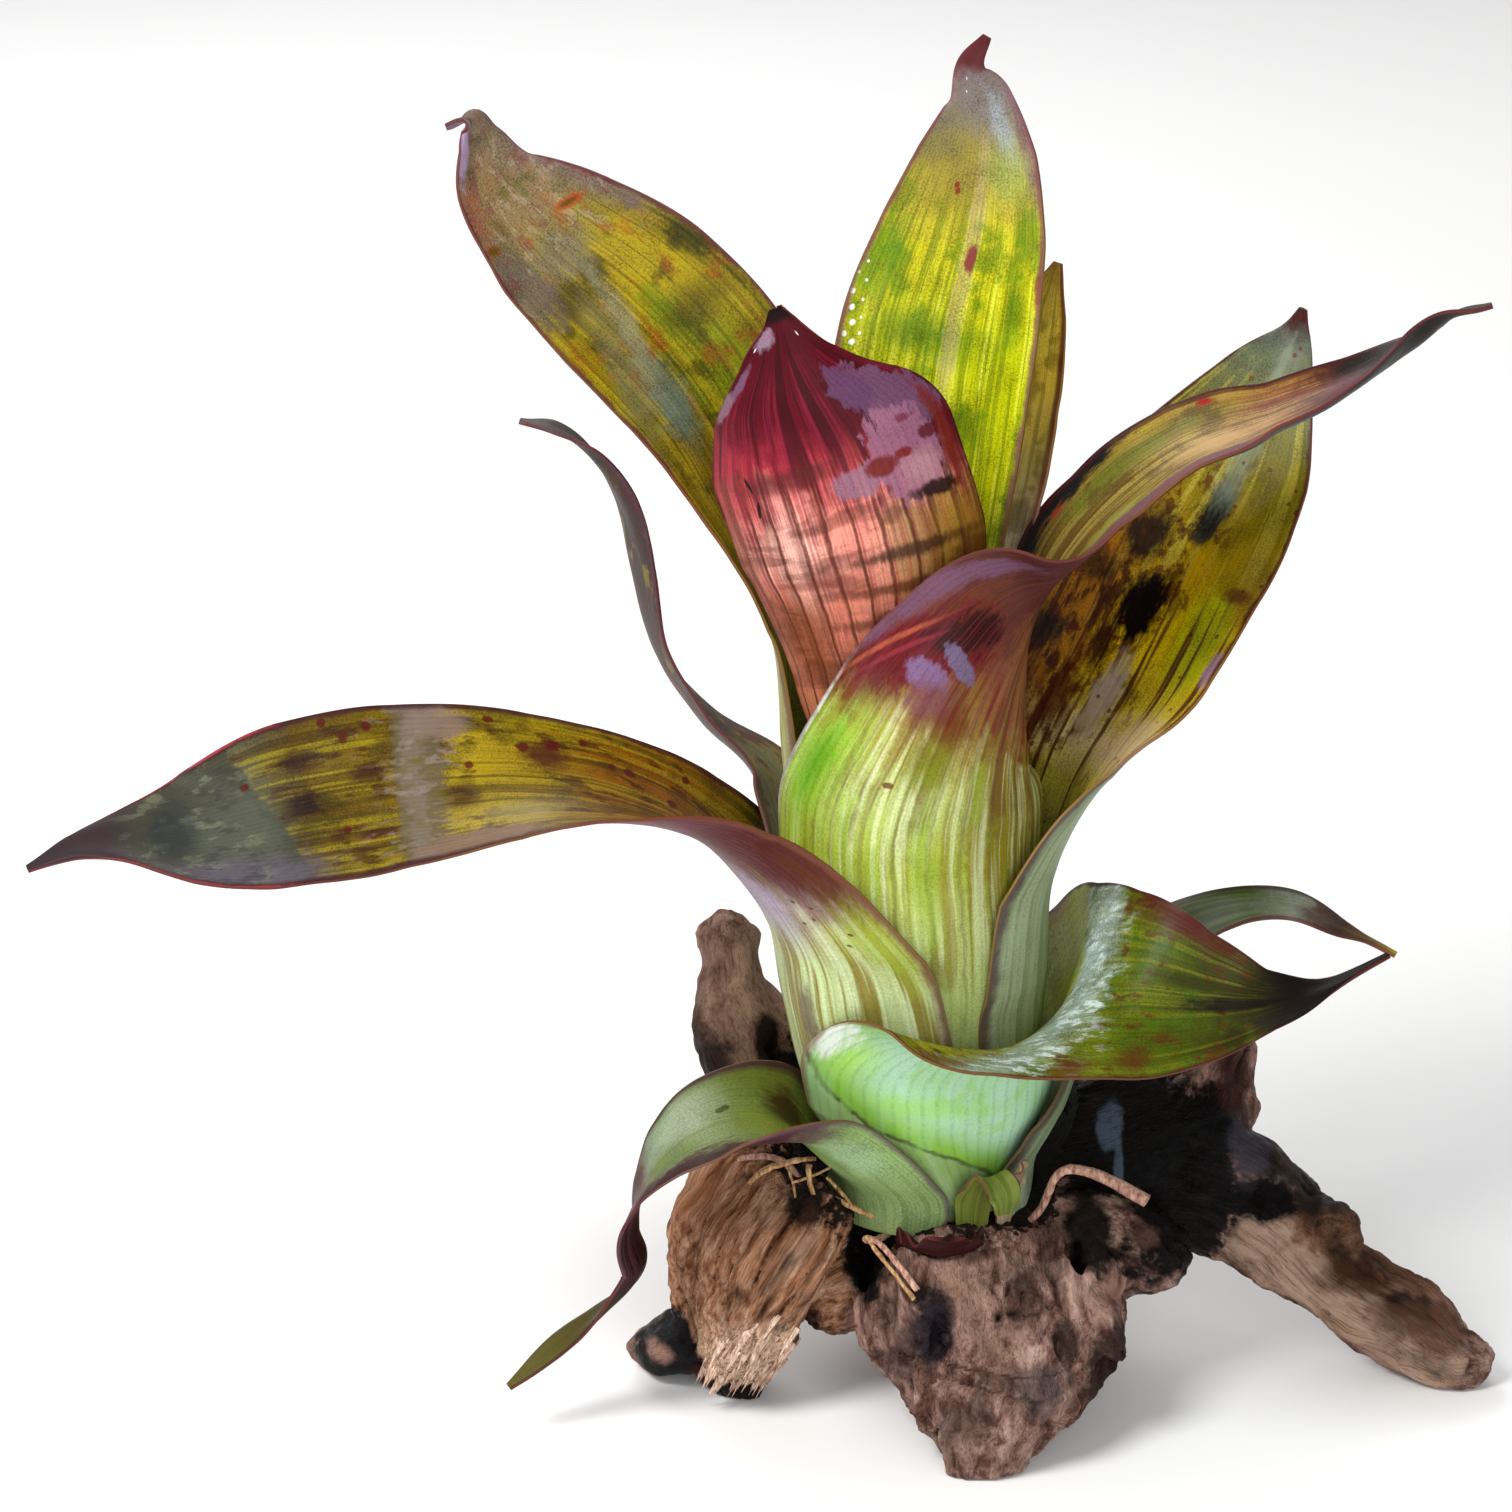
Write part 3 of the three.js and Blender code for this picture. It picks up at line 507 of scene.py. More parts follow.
looks = {
    # The middle leaf: salmon below, crimson above, with cross bands and lilac dry patches
    "leaf_heart": dict(
        outer=[
            ("run", (0, "b89c6c"), (80, "b86c50"), (92, "d07c68"), (101, "f4a898"), (109, "cc5c5c"),
             (116, "a82c3c"), (121, "901c30"), (128, "5c0410"), (136, "3c0008"), (140, "1c0002")),
            ("patch", -0.42, 101, 3.0, 10, 0, "f8c4b4", 0.6, 0.7),
            ("patch", 0.05, 102, 3, 7, 0, "e88070", 0.6, 0.6),
            ("patch", 0.72, 95, 7.5, 11, 0, "a07820", 0.95, 0.5),
            ("patch", 0.42, 98, 3, 7, 0, "a07858", 0.7, 0.6), ("stripes", 44, "a03834", 0.5, 84, 116),
            ("stripes", 19, "5c2410", 0.5, 70, 114), ("lines", 11, "4c1c08", 0.85, 66, 116),
            ("patch", 0.78, 95, 4, 9, 0, "94701c", 0.5, 0.7), ("beyond", 117, 8, "500010", 0.95, 4),
            ("stripes", 46, "7c1430", 0.7, 106, 130), ("stripes", 15, "300006", 0.75, 104, 140),
            ("bands", 7, "4c1c0c", 0.6, 74, 112), ("patch", -0.3, 113, 6, 1.8, 0, "541c1c", 0.75, 0.6),
            ("patch", -0.9, 100, 2, 14, 0, "6c2c10", 0.7, 0.6),
            ("patch", 0.35, 96.6, 8, 1.0, 0, "3c2008", 0.9, 0.6),
            ("patch", 0.25, 91.3, 7, 0.9, 0, "542410", 0.8, 0.6),
            ("patch", 0.1, 86, 6, 0.9, 0, "54200c", 0.7, 0.6),
            ("patch", -0.4, 94, 4, 0.9, 0, "6c2c1c", 0.6, 0.6),
            ("patch", -0.6, 85, 5, 6, 0, "643008", 0.7, 0.6),
            ("veil", 0.7, 120, 4.4, 7.4, 8, "684460", 0.92, 0.12),
            ("veil", 0.45, 124, 2.8, 5, 0, "5c3858", 0.92, 0.14),
            ("veil", 0.55, 111, 4.4, 7.4, 0, "905c74", 0.92, 0.12),
            ("veil", 0.15, 109, 2.8, 2.4, 0, "8c6478", 0.85, 0.2),
            ("patch", 0.62, 108, 2.4, 2.4, 0, "b48488", 0.7, 0.6),
            ("patch", 0.36, 110.3, 1.6, 1.5, 0, "6c1c14", 0.95, 0.3),
            ("patch", 0.53, 111.2, 1.0, 0.8, 0, "701c18", 0.95, 0.3),
            ("patch", 0.76, 113, 1.3, 1, 0, "54101c", 0.9, 0.3),
            ("patch", 0.62, 116, 0.9, 0.6, 0, "6c2438", 0.8, 0.4),
            ("patch", 0.68, 104.3, 3, 1.1, 0, "200c02", 0.95, 0.4),
            ("patch", 0.88, 111, 1, 9, 0, "6c1c0c", 0.85, 0.4), ("beyond", 138, 0, "140002", 1.0, 0.8),
            ("veil", -0.6, 135.6, 5, 1.9, 0, "94788c", 0.9, 0.3),
            ("veil", -0.8, 130, 1.3, 2, 0, "6c4c68", 0.85, 0.3),
            ("veil", -0.93, 127, 1.6, 1.8, 0, "7c606c", 0.85, 0.3),
            ("dots", 0.4, "f4ecf2", 1.0, (0.5, 135.7), (-0.8, 134)), ("stipple", "240408", 0.35),
            ("patch", -0.6, 114, 0.25, 1.5, 12, "140802", 1.0, 0.3),
            ("patch", -0.57, 109.5, 0.25, 1.6, -10, "140802", 1.0, 0.3), ("margin", "3c0810", 0.015, 0.9)],
        inner=[
            ("run", (0, "b8b070"), (80, "9a8a3a"), (140, "7a2c30")),
            ("stripes", 20, "6a3a1c", 0.5, 0, 140), ("stipple", "2a1808", 0.4),
            ("margin", "6a1420", 0.05, 0.9)]),
    # The tallest leaf: yellow-green with green mottling, a grey shoulder, a painted sheen near its tip, and
    # water drops painted as white glints of light
    "leaf_top": dict(
        inner=[
            ("run", (0, "c8cc70"), (60, "d0d838"), (100, "bcc000"), (127, "bcc400"), (140, "ccc40c"),
             (150, "bcac38"), (158, "948a50"), (166, "84786c"), (172, "745058"), (178, "642428")),
            ("stripes", 15, "dce038", 0.85, 50, 146), ("stripes", 26, "607800", 0.6, 50, 152),
            ("blotches", 7, 1.4, 0.42, "5c8800", 0.65, 92, 152),
            ("patch", 0.82, 138, 3.4, 7, 0, "5c8c08", 0.75, 0.6),
            ("patch", 0.1, 126.5, 8, 3.2, 0, "588000", 0.75, 0.7),
            ("patch", -0.72, 134, 1.8, 5, 0, "548000", 0.8, 0.6),
            ("patch", -0.8, 147, 2.4, 5, 0, "587c10", 0.75, 0.6),
            ("patch", -0.3, 112, 4, 4, 0, "4c6c00", 0.8, 0.6),
            ("patch", 0.3, 155, 7, 8, 0, "8c7c28", 0.6, 0.7),
            ("patch", -0.1, 140, 1.4, 24, 0, "b4a070", 0.55, 0.5),
            ("veil", -0.2, 168, 12, 6, 0, "7c7474", 0.75, 0.5),
            # Painted sheen: a pale blue-grey streak of light near the tip
            ("veil", -0.45, 163, 3, 6, -20, "a4b0b8", 0.6, 0.7),
            ("veil", -0.9, 160, 2.2, 8, 0, "7c5864", 0.8, 0.4),
            ("patch", -0.5, 155, 5, 4, 0, "9cac54", 0.6, 0.7), ("stipple", "3c3800", 0.75),
            ("beyond", 172, 0, "541c20", 0.9, 1.5),
            ("dots", 0.6, "7c2010", 0.9, (0.23, 152.2), (0.2, 151.2)),
            ("patch", -0.13, 140.6, 1.0, 2.4, 0, "7c3430", 0.95, 0.3),
            ("patch", -0.97, 139, 0.9, 3, 0, "7c2c20", 0.8, 0.4),
            # Painted highlights: water drops shown as white glints of light, along the margin and near the
            # tip
            ("dots", 0.5, "fcfff4", 1.0, (0.96, 131), (0.92, 128.6), (0.87, 126.5), (0.93, 124.5),
             (0.84, 123.5), (0.9, 120)),
            ("dots", 0.25, "fcfff4", 1.0, (0.78, 125), (0.83, 130), (0.8, 127.4), (0.86, 133),
             (0.92, 136), (0.76, 121), (0.97, 134), (0.4, 169), (0.3, 171)),
            ("margin", "744048", 0.04, 0.85)],
        outer=[
            ("run", (0, "b8c080"), (100, "8a8a48"), (150, "6a4a44"), (180, "5a2c34")),
            ("stripes", 18, "5a5a20", 0.5, 0, 180), ("stipple", "2a2410", 0.4),
            ("margin", "6a3038", 0.04, 0.8)]),
    # The narrow leaf behind: cream and yellow with a dark red margin
    "leaf_behind": dict(
        inner=[
            ("run", (0, "c8c8a0"), (85, "e8dcc4"), (98, "e0cca4"), (108, "d0b864"), (122, "e8c440"),
             (134, "ecd044"), (144, "a07828")), ("stripes", 10, "5a5410", 0.5, 0, 150),
            ("bands", 9, "6c5410", 0.6, 90, 140), ("stipple", "3a3410", 0.4),
            ("margin", "5c1414", 0.12, 0.9)],
        outer=[
            ("run", (0, "b8bc80"), (90, "84805a"), (150, "7a6c30")),
            ("stripes", 10, "5a5420", 0.4, 0, 150), ("stipple", "3a3410", 0.4),
            ("margin", "5a1c1c", 0.1, 0.8)]),
    # The upper left leaf: olive and gold, greyer and redder towards its tip
    "leaf_upper_left": dict(
        inner=[
            ("run", (0, "c8cc60"), (70, "c0c050"), (95, "b89c18"), (116, "8c7000"), (130, "746c00"),
             (145, "847400"), (160, "908024"), (172, "887450"), (185, "84705c"), (195, "4c3c38")),
            ("patch", -0.45, 147, 8, 15, 0, "a89408", 0.9, 0.6),
            ("patch", -0.2, 131, 6, 9, 0, "7c8800", 0.85, 0.6), ("stripes", 14, "c0a420", 0.45, 90, 165),
            ("stripes", 24, "483800", 0.45, 60, 168), ("blotches", 9, 1.3, 0.42, "342800", 0.65, 90, 160),
            ("blotches", 3.4, 1.8, 0.36, "98400c", 0.5, 130, 180),
            ("patch", -0.17, 143, 2.6, 5, 0, "587400", 0.7, 0.6),
            ("patch", -0.87, 149.5, 2, 4, 0, "242c00", 0.85, 0.6),
            ("patch", -0.43, 141, 5, 3, 0, "241c00", 0.6, 0.7),
            ("patch", 0.0, 157, 2.4, 2.4, 0, "2c2400", 0.8, 0.6),
            ("patch", 0.45, 157, 4, 3.4, 0, "2c2410", 0.7, 0.6),
            ("veil", 0.76, 164, 5, 8, 0, "645850", 0.85, 0.4),
            ("veil", 0.25, 145, 1.7, 15, 16, "8c8868", 0.7, 0.6),
            ("veil", 0.6, 140, 2.4, 15, 16, "6c684c", 0.6, 0.7),
            ("veil", 0.4, 130, 3, 8, 10, "647468", 0.75, 0.7),
            ("veil", 0.1, 163, 6, 4, 0, "746c58", 0.7, 0.6),
            ("veil", -0.92, 170, 3, 14, 0, "74605c", 0.8, 0.5),
            ("patch", 0.2, 178, 9, 7, 0, "887044", 0.7, 0.7),
            ("blotches", 4, 1.6, 0.42, "5c5c1c", 0.6, 166, 194),
            ("blotches", 3, 1.8, 0.42, "7c4444", 0.6, 164, 190),
            ("blotches", 2, 2.4, 0.42, "b09c80", 0.4, 160, 190),
            ("patch", 0.85, 177, 4, 4, 0, "945c44", 0.8, 0.6), ("stipple", "201800", 0.75),
            ("patch", -0.5, 167.6, 3.4, 0.9, 15, "943c04", 0.9, 0.4),
            ("patch", -0.5, 167.6, 1.8, 0.4, 15, "503c00", 0.9, 0.4),
            ("patch", 0.84, 171.5, 2.6, 0.8, 15, "70380c", 0.9, 0.4),
            ("patch", 0.84, 171.5, 1.4, 0.35, 15, "4c4408", 0.9, 0.4),
            ("veil", 0.9, 186, 4, 5, 0, "a890b0", 0.9, 0.3), ("beyond", 190.5, 0, "443430", 0.9, 1.5),
            ("spots", 8, 0.5, 0.35, "8c3418", 0.8), ("margin", "54202c", 0.03, 0.85)],
        outer=[
            ("run", (0, "c4cc70"), (80, "b8b878"), (130, "8a8068"), (185, "7a6474")),
            ("stripes", 16, "6a5a30", 0.5, 0, 150), ("stipple", "3c3018", 0.4),
            ("margin", "5c2c34", 0.06, 0.85)]),
    # The cup leaf: pale striped sheath, a crimson shoulder, then the olive and black blade with a painted
    # highlight on it
    "leaf_cup": dict(
        outer=[
            ("run", (0, "bccf94"), (50, "bccc70"), (60, "a4b83c"), (70, "bccc78"), (77, "a8a050"),
             (83, "8c6c3c"), (89, "7c4830"), (97, "6c3424"), (106, "4c1c20"), (118, "5c2c3c"),
             (150, "3c1420"), (166, "080101"), (188, "0c0404"), (199, "38241c")),
            ("patch", 0.35, 72, 5, 28, 0, "786810", 0.85, 0.6),
            ("patch", 0.2, 95, 4, 14, 0, "905c38", 0.7, 0.6), ("stripes", 34, "e4ecc0", 0.45, 40, 80),
            ("stripes", 18, "867408", 0.6, 36, 88), ("lines", 13, "74642c", 0.5, 30, 84),
            ("blotches", 7, 3.5, 0.42, "8ca830", 0.5, 30, 80), ("stripes", 26, "5c3414", 0.6, 66, 110),
            ("stripes", 16, "3c1410", 0.5, 84, 130), ("patch", -0.8, 72, 3.4, 9, 0, "9ccc40", 0.7, 0.7),
            ("patch", -0.78, 71.5, 1.3, 5, 0, "549400", 0.8, 0.8),
            ("patch", -0.23, 76, 1.7, 4, 0, "747c00", 0.85, 0.7),
            ("patch", -0.2, 82, 2.2, 3, 0, "642c0c", 0.75, 0.6), ("stripes", 22, "6c1410", 0.8, 82, 92),
            ("patch", -0.62, 91, 5, 9.5, -31, "5c0210", 0.97, 0.3),
            ("patch", -0.43, 95.5, 2.8, 4.8, -30, "280002", 0.97, 0.3),
            ("patch", -0.83, 90, 0.35, 6, -25, "b85c3c", 0.7, 0.7),
            ("patch", -0.74, 89, 0.3, 5, -28, "8c2838", 0.7, 0.7),
            ("stripes", 60, "7c2438", 0.4, 84, 104),
            ("veil", -0.47, 87.3, 2.6, 1.8, -30, "7c6088", 0.9, 0.2),
            ("veil", -0.34, 90.8, 2.8, 1.2, -40, "6c5c7c", 0.9, 0.2),
            ("veil", -0.38, 84.5, 2.2, 3, 0, "74404c", 0.7, 0.4),
            ("veil", -0.88, 99, 1.7, 11, -12, "6c4860", 0.88, 0.4),
            ("veil", -0.99, 72, 0.35, 12, 0, "e0e8e0", 0.8, 0.5),
            ("dots", 0.45, "6c3c20", 0.9, (-0.37, 71.7)), ("stipple", "3a2c10", 0.4),
            ("margin", "5c3034", 0.02, 0.6)],
        inner=[
            ("run", (0, "b8c080"), (80, "98902c"), (115, "503c08"), (124, "6c5414"), (131, "7c6818"),
             (138, "9c8424"), (150, "94702c"), (160, "884c28"), (167, "581c10"), (173, "0c0202"),
             (184, "080102"), (191, "34201c"), (199, "50403c")),
            ("stripes", 16, "b09c48", 0.45, 110, 165), ("stripes", 22, "4c2c08", 0.65, 100, 180),
            ("patch", 0.5, 132, 3, 10, 0, "606810", 0.75, 0.6),
            ("patch", 0.6, 146, 3, 6, 0, "686c18", 0.6, 0.6),
            ("blotches", 6, 1.6, 0.42, "4c3408", 0.6, 110, 160), ("stipple", "2c1c08", 0.65),
            # Painted highlight: a soft tan patch of light on the blade
            ("patch", -0.1, 150, 3.4, 8, 0, "b48c50", 0.7, 0.7),
            ("patch", 0.98, 121, 4.2, 15, 0, "0c0406", 1.0, 0.25),
            ("veil", -0.68, 140, 3.8, 34, 0, "683c50", 0.92, 0.3),
            ("patch", -0.3, 128, 2, 7, 0, "94903c", 0.6, 0.6),
            ("patch", 0.84, 149.1, 0.9, 1.2, 0, "980814", 0.95, 0.3),
            ("patch", 0.72, 122.3, 0.7, 1.4, 0, "8c2014", 0.75, 0.4),
            ("patch", -0.1, 172, 8, 4, 0, "5c1c28", 0.7, 0.6), ("margin", "3c0c10", 0.06, 0.95)]),
    # The spotted leaf on the right: gold with near-black blotches and small red spots
    "leaf_right_back": dict(
        inner=[
            ("run", (0, "b4b850"), (66, "c4b838"), (73, "e0c488"), (80, "c8b028"), (92, "dcb800"),
             (105, "b89000"), (118, "8c7800"), (130, "746c04"), (141, "6c744c"), (150, "5c6458"),
             (156, "441c20")), ("patch", 0.65, 92, 7, 24, 0, "9c5400", 0.85, 0.6),
            ("patch", -0.62, 96, 4, 10, 0, "b8c400", 0.85, 0.6), ("stripes", 14, "c4b43c", 0.5, 60, 140),
            ("stripes", 14, "4c0800", 0.9, 50, 104),
            ("blotches", 5, 1.6, 0.42, "300800", 0.9, 70, 125, -0.2),
            ("blotches", 2.6, 1.6, 0.42, "4c1000", 0.75, 66, 130, -0.4),
            ("patch", 0.8, 76, 5, 18, 0, "3c0c00", 0.65, 0.6),
            ("blotches", 2.0, 4.5, 0.5, "300500", 0.85, 62, 106, 0.2), ("stipple", "341c00", 0.75),
            ("patch", -0.13, 117.5, 2.0, 5, 0, "0c0200", 1.0, 0.4),
            ("patch", 0.07, 98, 3.2, 6, 0, "080100", 1.0, 0.3),
            ("patch", 0.3, 110, 3, 5, 0, "180600", 0.95, 0.5),
            ("patch", 0.23, 89, 1.6, 4, 0, "240600", 0.9, 0.5),
            ("patch", 0.7, 89, 2, 3.4, 0, "140400", 0.9, 0.5),
            ("patch", 0.6, 102, 2.4, 3, 0, "1c0600", 0.8, 0.6),
            ("patch", 0.36, 78, 2, 6, 0, "3c0c00", 0.85, 0.5),
            ("veil", 0.0, 81, 1.9, 7, 0, "a89480", 0.85, 0.5),
            ("veil", -0.12, 136, 2.6, 14, 0, "7c8870", 0.7, 0.6),
            ("veil", -0.6, 74, 5, 6, 0, "b49c74", 0.7, 0.6),
            ("veil", -0.93, 92, 1.2, 3.4, 0, "a07c90", 0.9, 0.4),
            ("spots", 2.8, 0.42, 0.45, "5c1404", 0.85), ("spots", 2.8, 0.15, 0.45, "946c10", 0.85),
            ("patch", -0.75, 106, 2.6, 1.6, 0, "5c1408", 0.8, 0.6), ("margin", "441018", 0.03, 0.9)],
        outer=[
            ("run", (0, "b4c49c"), (80, "9aa888"), (150, "6c6c58")),
            ("stripes", 16, "6c7450", 0.4, 0, 150), ("stipple", "3c3c2c", 0.4),
            ("spots", 6, 0.5, 0.4, "5c3c34", 0.6), ("margin", "4c2c34", 0.05, 0.85)]),
    # The thin leaf behind on the left: grey-purple and mottled on both sides
    "leaf_left_back": dict(inner=left_back_look, outer=left_back_look),
    # The long left leaf: brown and gold, a grey ragged belt, and a grey end
    "leaf_long_left": dict(
        inner=[
            ("run", (0, "c0c880"), (55, "b4a830"), (68, "8c6c08"), (82, "845800"), (90, "805800"),
             (100, "8c7000"), (112, "a48c18"), (125, "745c00"), (140, "584400"), (150, "5c5c44"),
             (186, "5c4c50")), ("patch", -0.2, 80, 14, 12, 0, "844800", 0.7, 0.7),
            ("stripes", 18, "a09014", 0.5, 60, 150), ("stripes", 14, "3c2800", 0.6, 50, 150),
            ("blotches", 3.4, 2.6, 0.42, "381400", 0.75, 65, 150),
            ("blotches", 8, 1.8, 0.42, "342800", 0.55, 60, 150), ("stipple", "241800", 0.75),
            ("patch", -0.57, 139.4, 1.8, 3.2, 0, "240804", 0.9, 0.6),
            ("patch", -0.05, 139.6, 2.4, 3.4, 0, "1c0404", 0.95, 0.6),
            ("patch", -0.3, 128.5, 1.8, 3, 0, "300a04", 0.85, 0.6),
            ("patch", 0.45, 127.6, 1, 4, 0, "340c04", 0.85, 0.6),
            ("patch", -0.47, 100, 3, 3.4, 0, "400c08", 0.85, 0.6),
            ("patch", 0.1, 113.5, 2.6, 3, 0, "3c2408", 0.85, 0.6),
            ("belt", 116.5, 124.3, 2.4, 0, "5c503c", 0.88), ("belt", 119.5, 123, 0.6, 0.6, "74685c", 0.6),
            ("blotches", 2.2, 2.0, 0.45, "5c5010", 0.65, 113, 122),
            ("blotches", 1.6, 2.2, 0.42, "8c7c78", 0.5, 116, 126),
            ("veil", 0.86, 112, 3, 11, 0, "745c4c", 0.88, 0.25),
            ("veil", -0.8, 117, 3, 5, 0, "7c6860", 0.75, 0.3),
            ("veil", 0.4, 104, 2.4, 5, 0, "8c8048", 0.6, 0.5), ("beyond", 144.5, 6, "3a3a2c", 0.97, 0.35),
            ("veil", 0.2, 152, 9, 8, 0, "4c5044", 0.8, 0.7),
            ("veil", 0.8, 150, 4, 12, 0, "58505c", 0.8, 0.6),
            ("blotches", 3, 2.0, 0.45, "787c64", 0.4, 148, 170),
            ("blotches", 1.6, 2.4, 0.45, "2c2c2c", 0.5, 146, 190),
            ("veil", 0.0, 162, 9, 4, 0, "242a2c", 0.8, 0.7), ("beyond", 169, 0, "302028", 0.85, 4),
            ("dots", 0.75, "4c0c08", 0.9, (-0.73, 132), (-0.8, 128.2), (-0.43, 148.4), (-0.3, 112.4),
             (-0.74, 94), (-0.5, 89), (-0.77, 75.6), (-0.9, 135), (-0.85, 109), (0.35, 133)),
            ("dots", 1.1, "4c0c08", 0.9, (-0.55, 103.8), (-0.5, 86), (-0.3, 78), (-0.62, 99), (0.1, 74)),
            ("margin", "340c18", 0.05, 0.9), ("margin", "942c34", 0.02, 0.9, 144, 190)],
        outer=[
            ("run", (0, "a0ac70"), (35, "b4c484"), (45, "c4d698"), (54, "b4b484"), (59, "8c7070"),
             (65, "6c3c44"), (78, "6c3c48"), (90, "60303c"), (110, "644454"), (140, "5c5054"),
             (186, "504448")), ("stripes", 26, "dce8bc", 0.5, 20, 58),
            ("stripes", 17, "847014", 0.85, 0, 68), ("patch", 0.9, 53, 4, 7, 0, "94a828", 0.7, 0.6),
            ("veil", 0.15, 58, 4, 7, 0, "b0a0b8", 0.8, 0.6),
            ("patch", 0.2, 36, 1.0, 6, 0, "5c4038", 0.8, 0.6),
            ("patch", 0.85, 66, 6, 7, 0, "4c0c10", 0.9, 0.6),
            ("patch", 0.5, 74, 9, 5, 0, "501018", 0.8, 0.7),
            ("dots", 0.26, "4c2c14", 0.85, (0.5, 60), (0.55, 57), (0.6, 59), (0.72, 55), (0.66, 53),
             (0.45, 56)), ("stipple", "4c3c1c", 0.4), ("margin", "6c4030", 0.04, 0.85)]),
    # The front right leaf: mint sheath, then a green blade with a painted wet sheen across it and painted
    # light on its shaded part
    "leaf_right_front": dict(
        outer=[
            ("run", (0, "7c9458"), (10, "84a05c"), (20, "90ac68"), (45, "a0c8a8"), (60, "acc4a8"),
             (140, "6c3434")), ("stripes", 10, "b0c894", 0.5, 0, 24),
            ("beyond", 4.2, 27, "4c5c24", 0.95, 0.5), ("beyond", 5.4, 27, "80b438", 0.95, 0.5),
            ("beyond", 11, 27, "a6cdae", 0.95, 5), ("stripes", 12, "94c47c", 0.4, 18, 80),
            ("patch", -0.8, 31.5, 1.8, 1.8, 0, "a4d858", 0.6, 0.8),
            ("patch", -0.4, 26, 5, 1.2, -25, "90c848", 0.5, 0.8),
            ("veil", -0.95, 33, 1.6, 2, 0, "dce4dc", 0.9, 0.4),
            ("blotches", 5, 1.2, 0.42, "8cc058", 0.5, 10, 60), ("stipple", "7c9474", 0.35),
            ("margin", "7c4840", 0.02, 0.7)],
        inner=[
            ("run", (0, "9cac4c"), (30, "949a34"), (40, "8c8814"), (50, "74780c"), (60, "546404"),
             (68, "404c00"), (76, "2c2804"), (84, "1c0c04"), (105, "080304")),
            ("stripes", 16, "8c8c20", 0.3, 30, 80), ("stripes", 22, "303c00", 0.45, 30, 90),
            ("blotches", 6, 1.4, 0.45, "3c5c04", 0.7, 35, 75),
            ("blotches", 3, 1.4, 0.4, "542408", 0.75, 25, 80),
            # Painted sheen: a pale blue-grey band of light across the blade
            ("veil", 0.6, 50, 8, 5.2, 0, "9cb0ac", 0.75, 0.7),
            # Painted light: two bright patches that lighten the shaded part of the blade
            ("patch", 0.85, 38, 5, 9, 0, "c8cc5c", 0.9, 0.5),
            ("patch", 0.45, 35, 5, 8, 0, "c8d44c", 0.9, 0.6),
            # More of the painted sheen, with pale blotches of light in it
            ("veil", -0.1, 48.5, 8, 5, 0, "94aca4", 0.7, 0.7),
            ("veil", -0.8, 46.5, 6, 4, 0, "8ca498", 0.6, 0.7),
            ("blotches", 1.3, 2.6, 0.5, "d8e8e8", 0.7, 44, 54), ("stipple", "2c2c04", 0.75),
            ("patch", 0.9, 68, 3, 9, 0, "481410", 0.92, 0.6),
            ("patch", 1.0, 37, 1.4, 3, 0, "94601c", 0.8, 0.6),
            ("patch", -0.9, 42, 2, 2.4, 0, "5c3808", 0.7, 0.7),
            ("patch", -0.88, 55.5, 2, 2, 0, "542410", 0.75, 0.7),
            ("patch", -0.76, 62, 2.4, 2, 0, "502008", 0.75, 0.7),
            ("patch", -0.1, 78, 2, 9, 0, "140c04", 0.95, 0.5),
            ("patch", 0.2, 70, 1.4, 6, 0, "282804", 0.8, 0.6), ("beyond", 83, 0, "0c0404", 0.95, 5),
            ("margin", "441410", 0.02, 0.85)]),
    # The low right leaf: green with a brown and then yellow tip
    "leaf_right_rear": dict(
        inner=[
            ("run", (0, "9cb07c"), (45, "44540c"), (58, "2c3c00"), (67, "384808"), (74, "84887c"),
             (79, "544438"), (83, "38201c"), (88, "5c4414"), (94, "a88c20")),
            ("stripes", 9, "5c7020", 0.5, 0, 74), ("stipple", "1c1c0c", 0.4),
            ("margin", "3c2c28", 0.1, 0.8)],
        outer=[
            ("run", (0, "a4b494"), (40, "3c4c10"), (58, "182400"), (68, "202c04"), (75, "6c7068"),
             (84, "38201c"), (94, "a88c20")), ("stripes", 9, "5c6440", 0.4, 0, 80),
            ("stipple", "2c2c14", 0.35), ("margin", "3c2c28", 0.1, 0.8)]),
    # The lower left leaf: grey-green with a purple fold and a dark twisted end
    "leaf_lower_left": dict(
        inner=[
            ("run", (0, "808c3c"), (28, "748028"), (36, "6c7838"), (44, "84946c"), (51, "7c8c74"),
             (57, "5c3c34"), (63, "280a08"), (75, "1c0606"), (81, "3c300c"), (105, "605820")),
            ("patch", -0.95, 33, 6, 6, 0, "646800", 0.85, 0.6),
            ("patch", 0.2, 50, 6, 6, 0, "64741c", 0.6, 0.6), ("stripes", 10, "5c6c34", 0.5, 0, 56),
            ("veil", -0.5, 45, 5, 5, 0, "98a48c", 0.6, 0.7),
            ("patch", 1.0, 42, 9, 18, 0, "442028", 0.95, 0.35),
            ("patch", 1.0, 40, 5, 14, 0, "2c1016", 0.8, 0.6),
            ("patch", -0.45, 28, 4, 4, 0, "340c10", 0.85, 0.6),
            ("dots", 0.8, "383c18", 0.8, (-0.33, 38.6), (-0.3, 39.4)), ("stipple", "2c3418", 0.45),
            ("margin", "3c1c24", 0.08, 0.9)],
        outer=[
            ("run", (0, "90a86c"), (15, "90ac6c"), (23, "809c5c"), (27, "6c6454"), (31, "4c2830"),
             (40, "3c1418"), (50, "2c0c0c"), (62, "200808"), (76, "1c0606"), (83, "3c300c"),
             (105, "605820")), ("stripes", 12, "5c7c3c", 0.5, 0, 27),
            ("stripes", 12, "5c3440", 0.5, 28, 80), ("patch", 0.5, 19, 4, 5, 0, "a4c094", 0.7, 0.6),
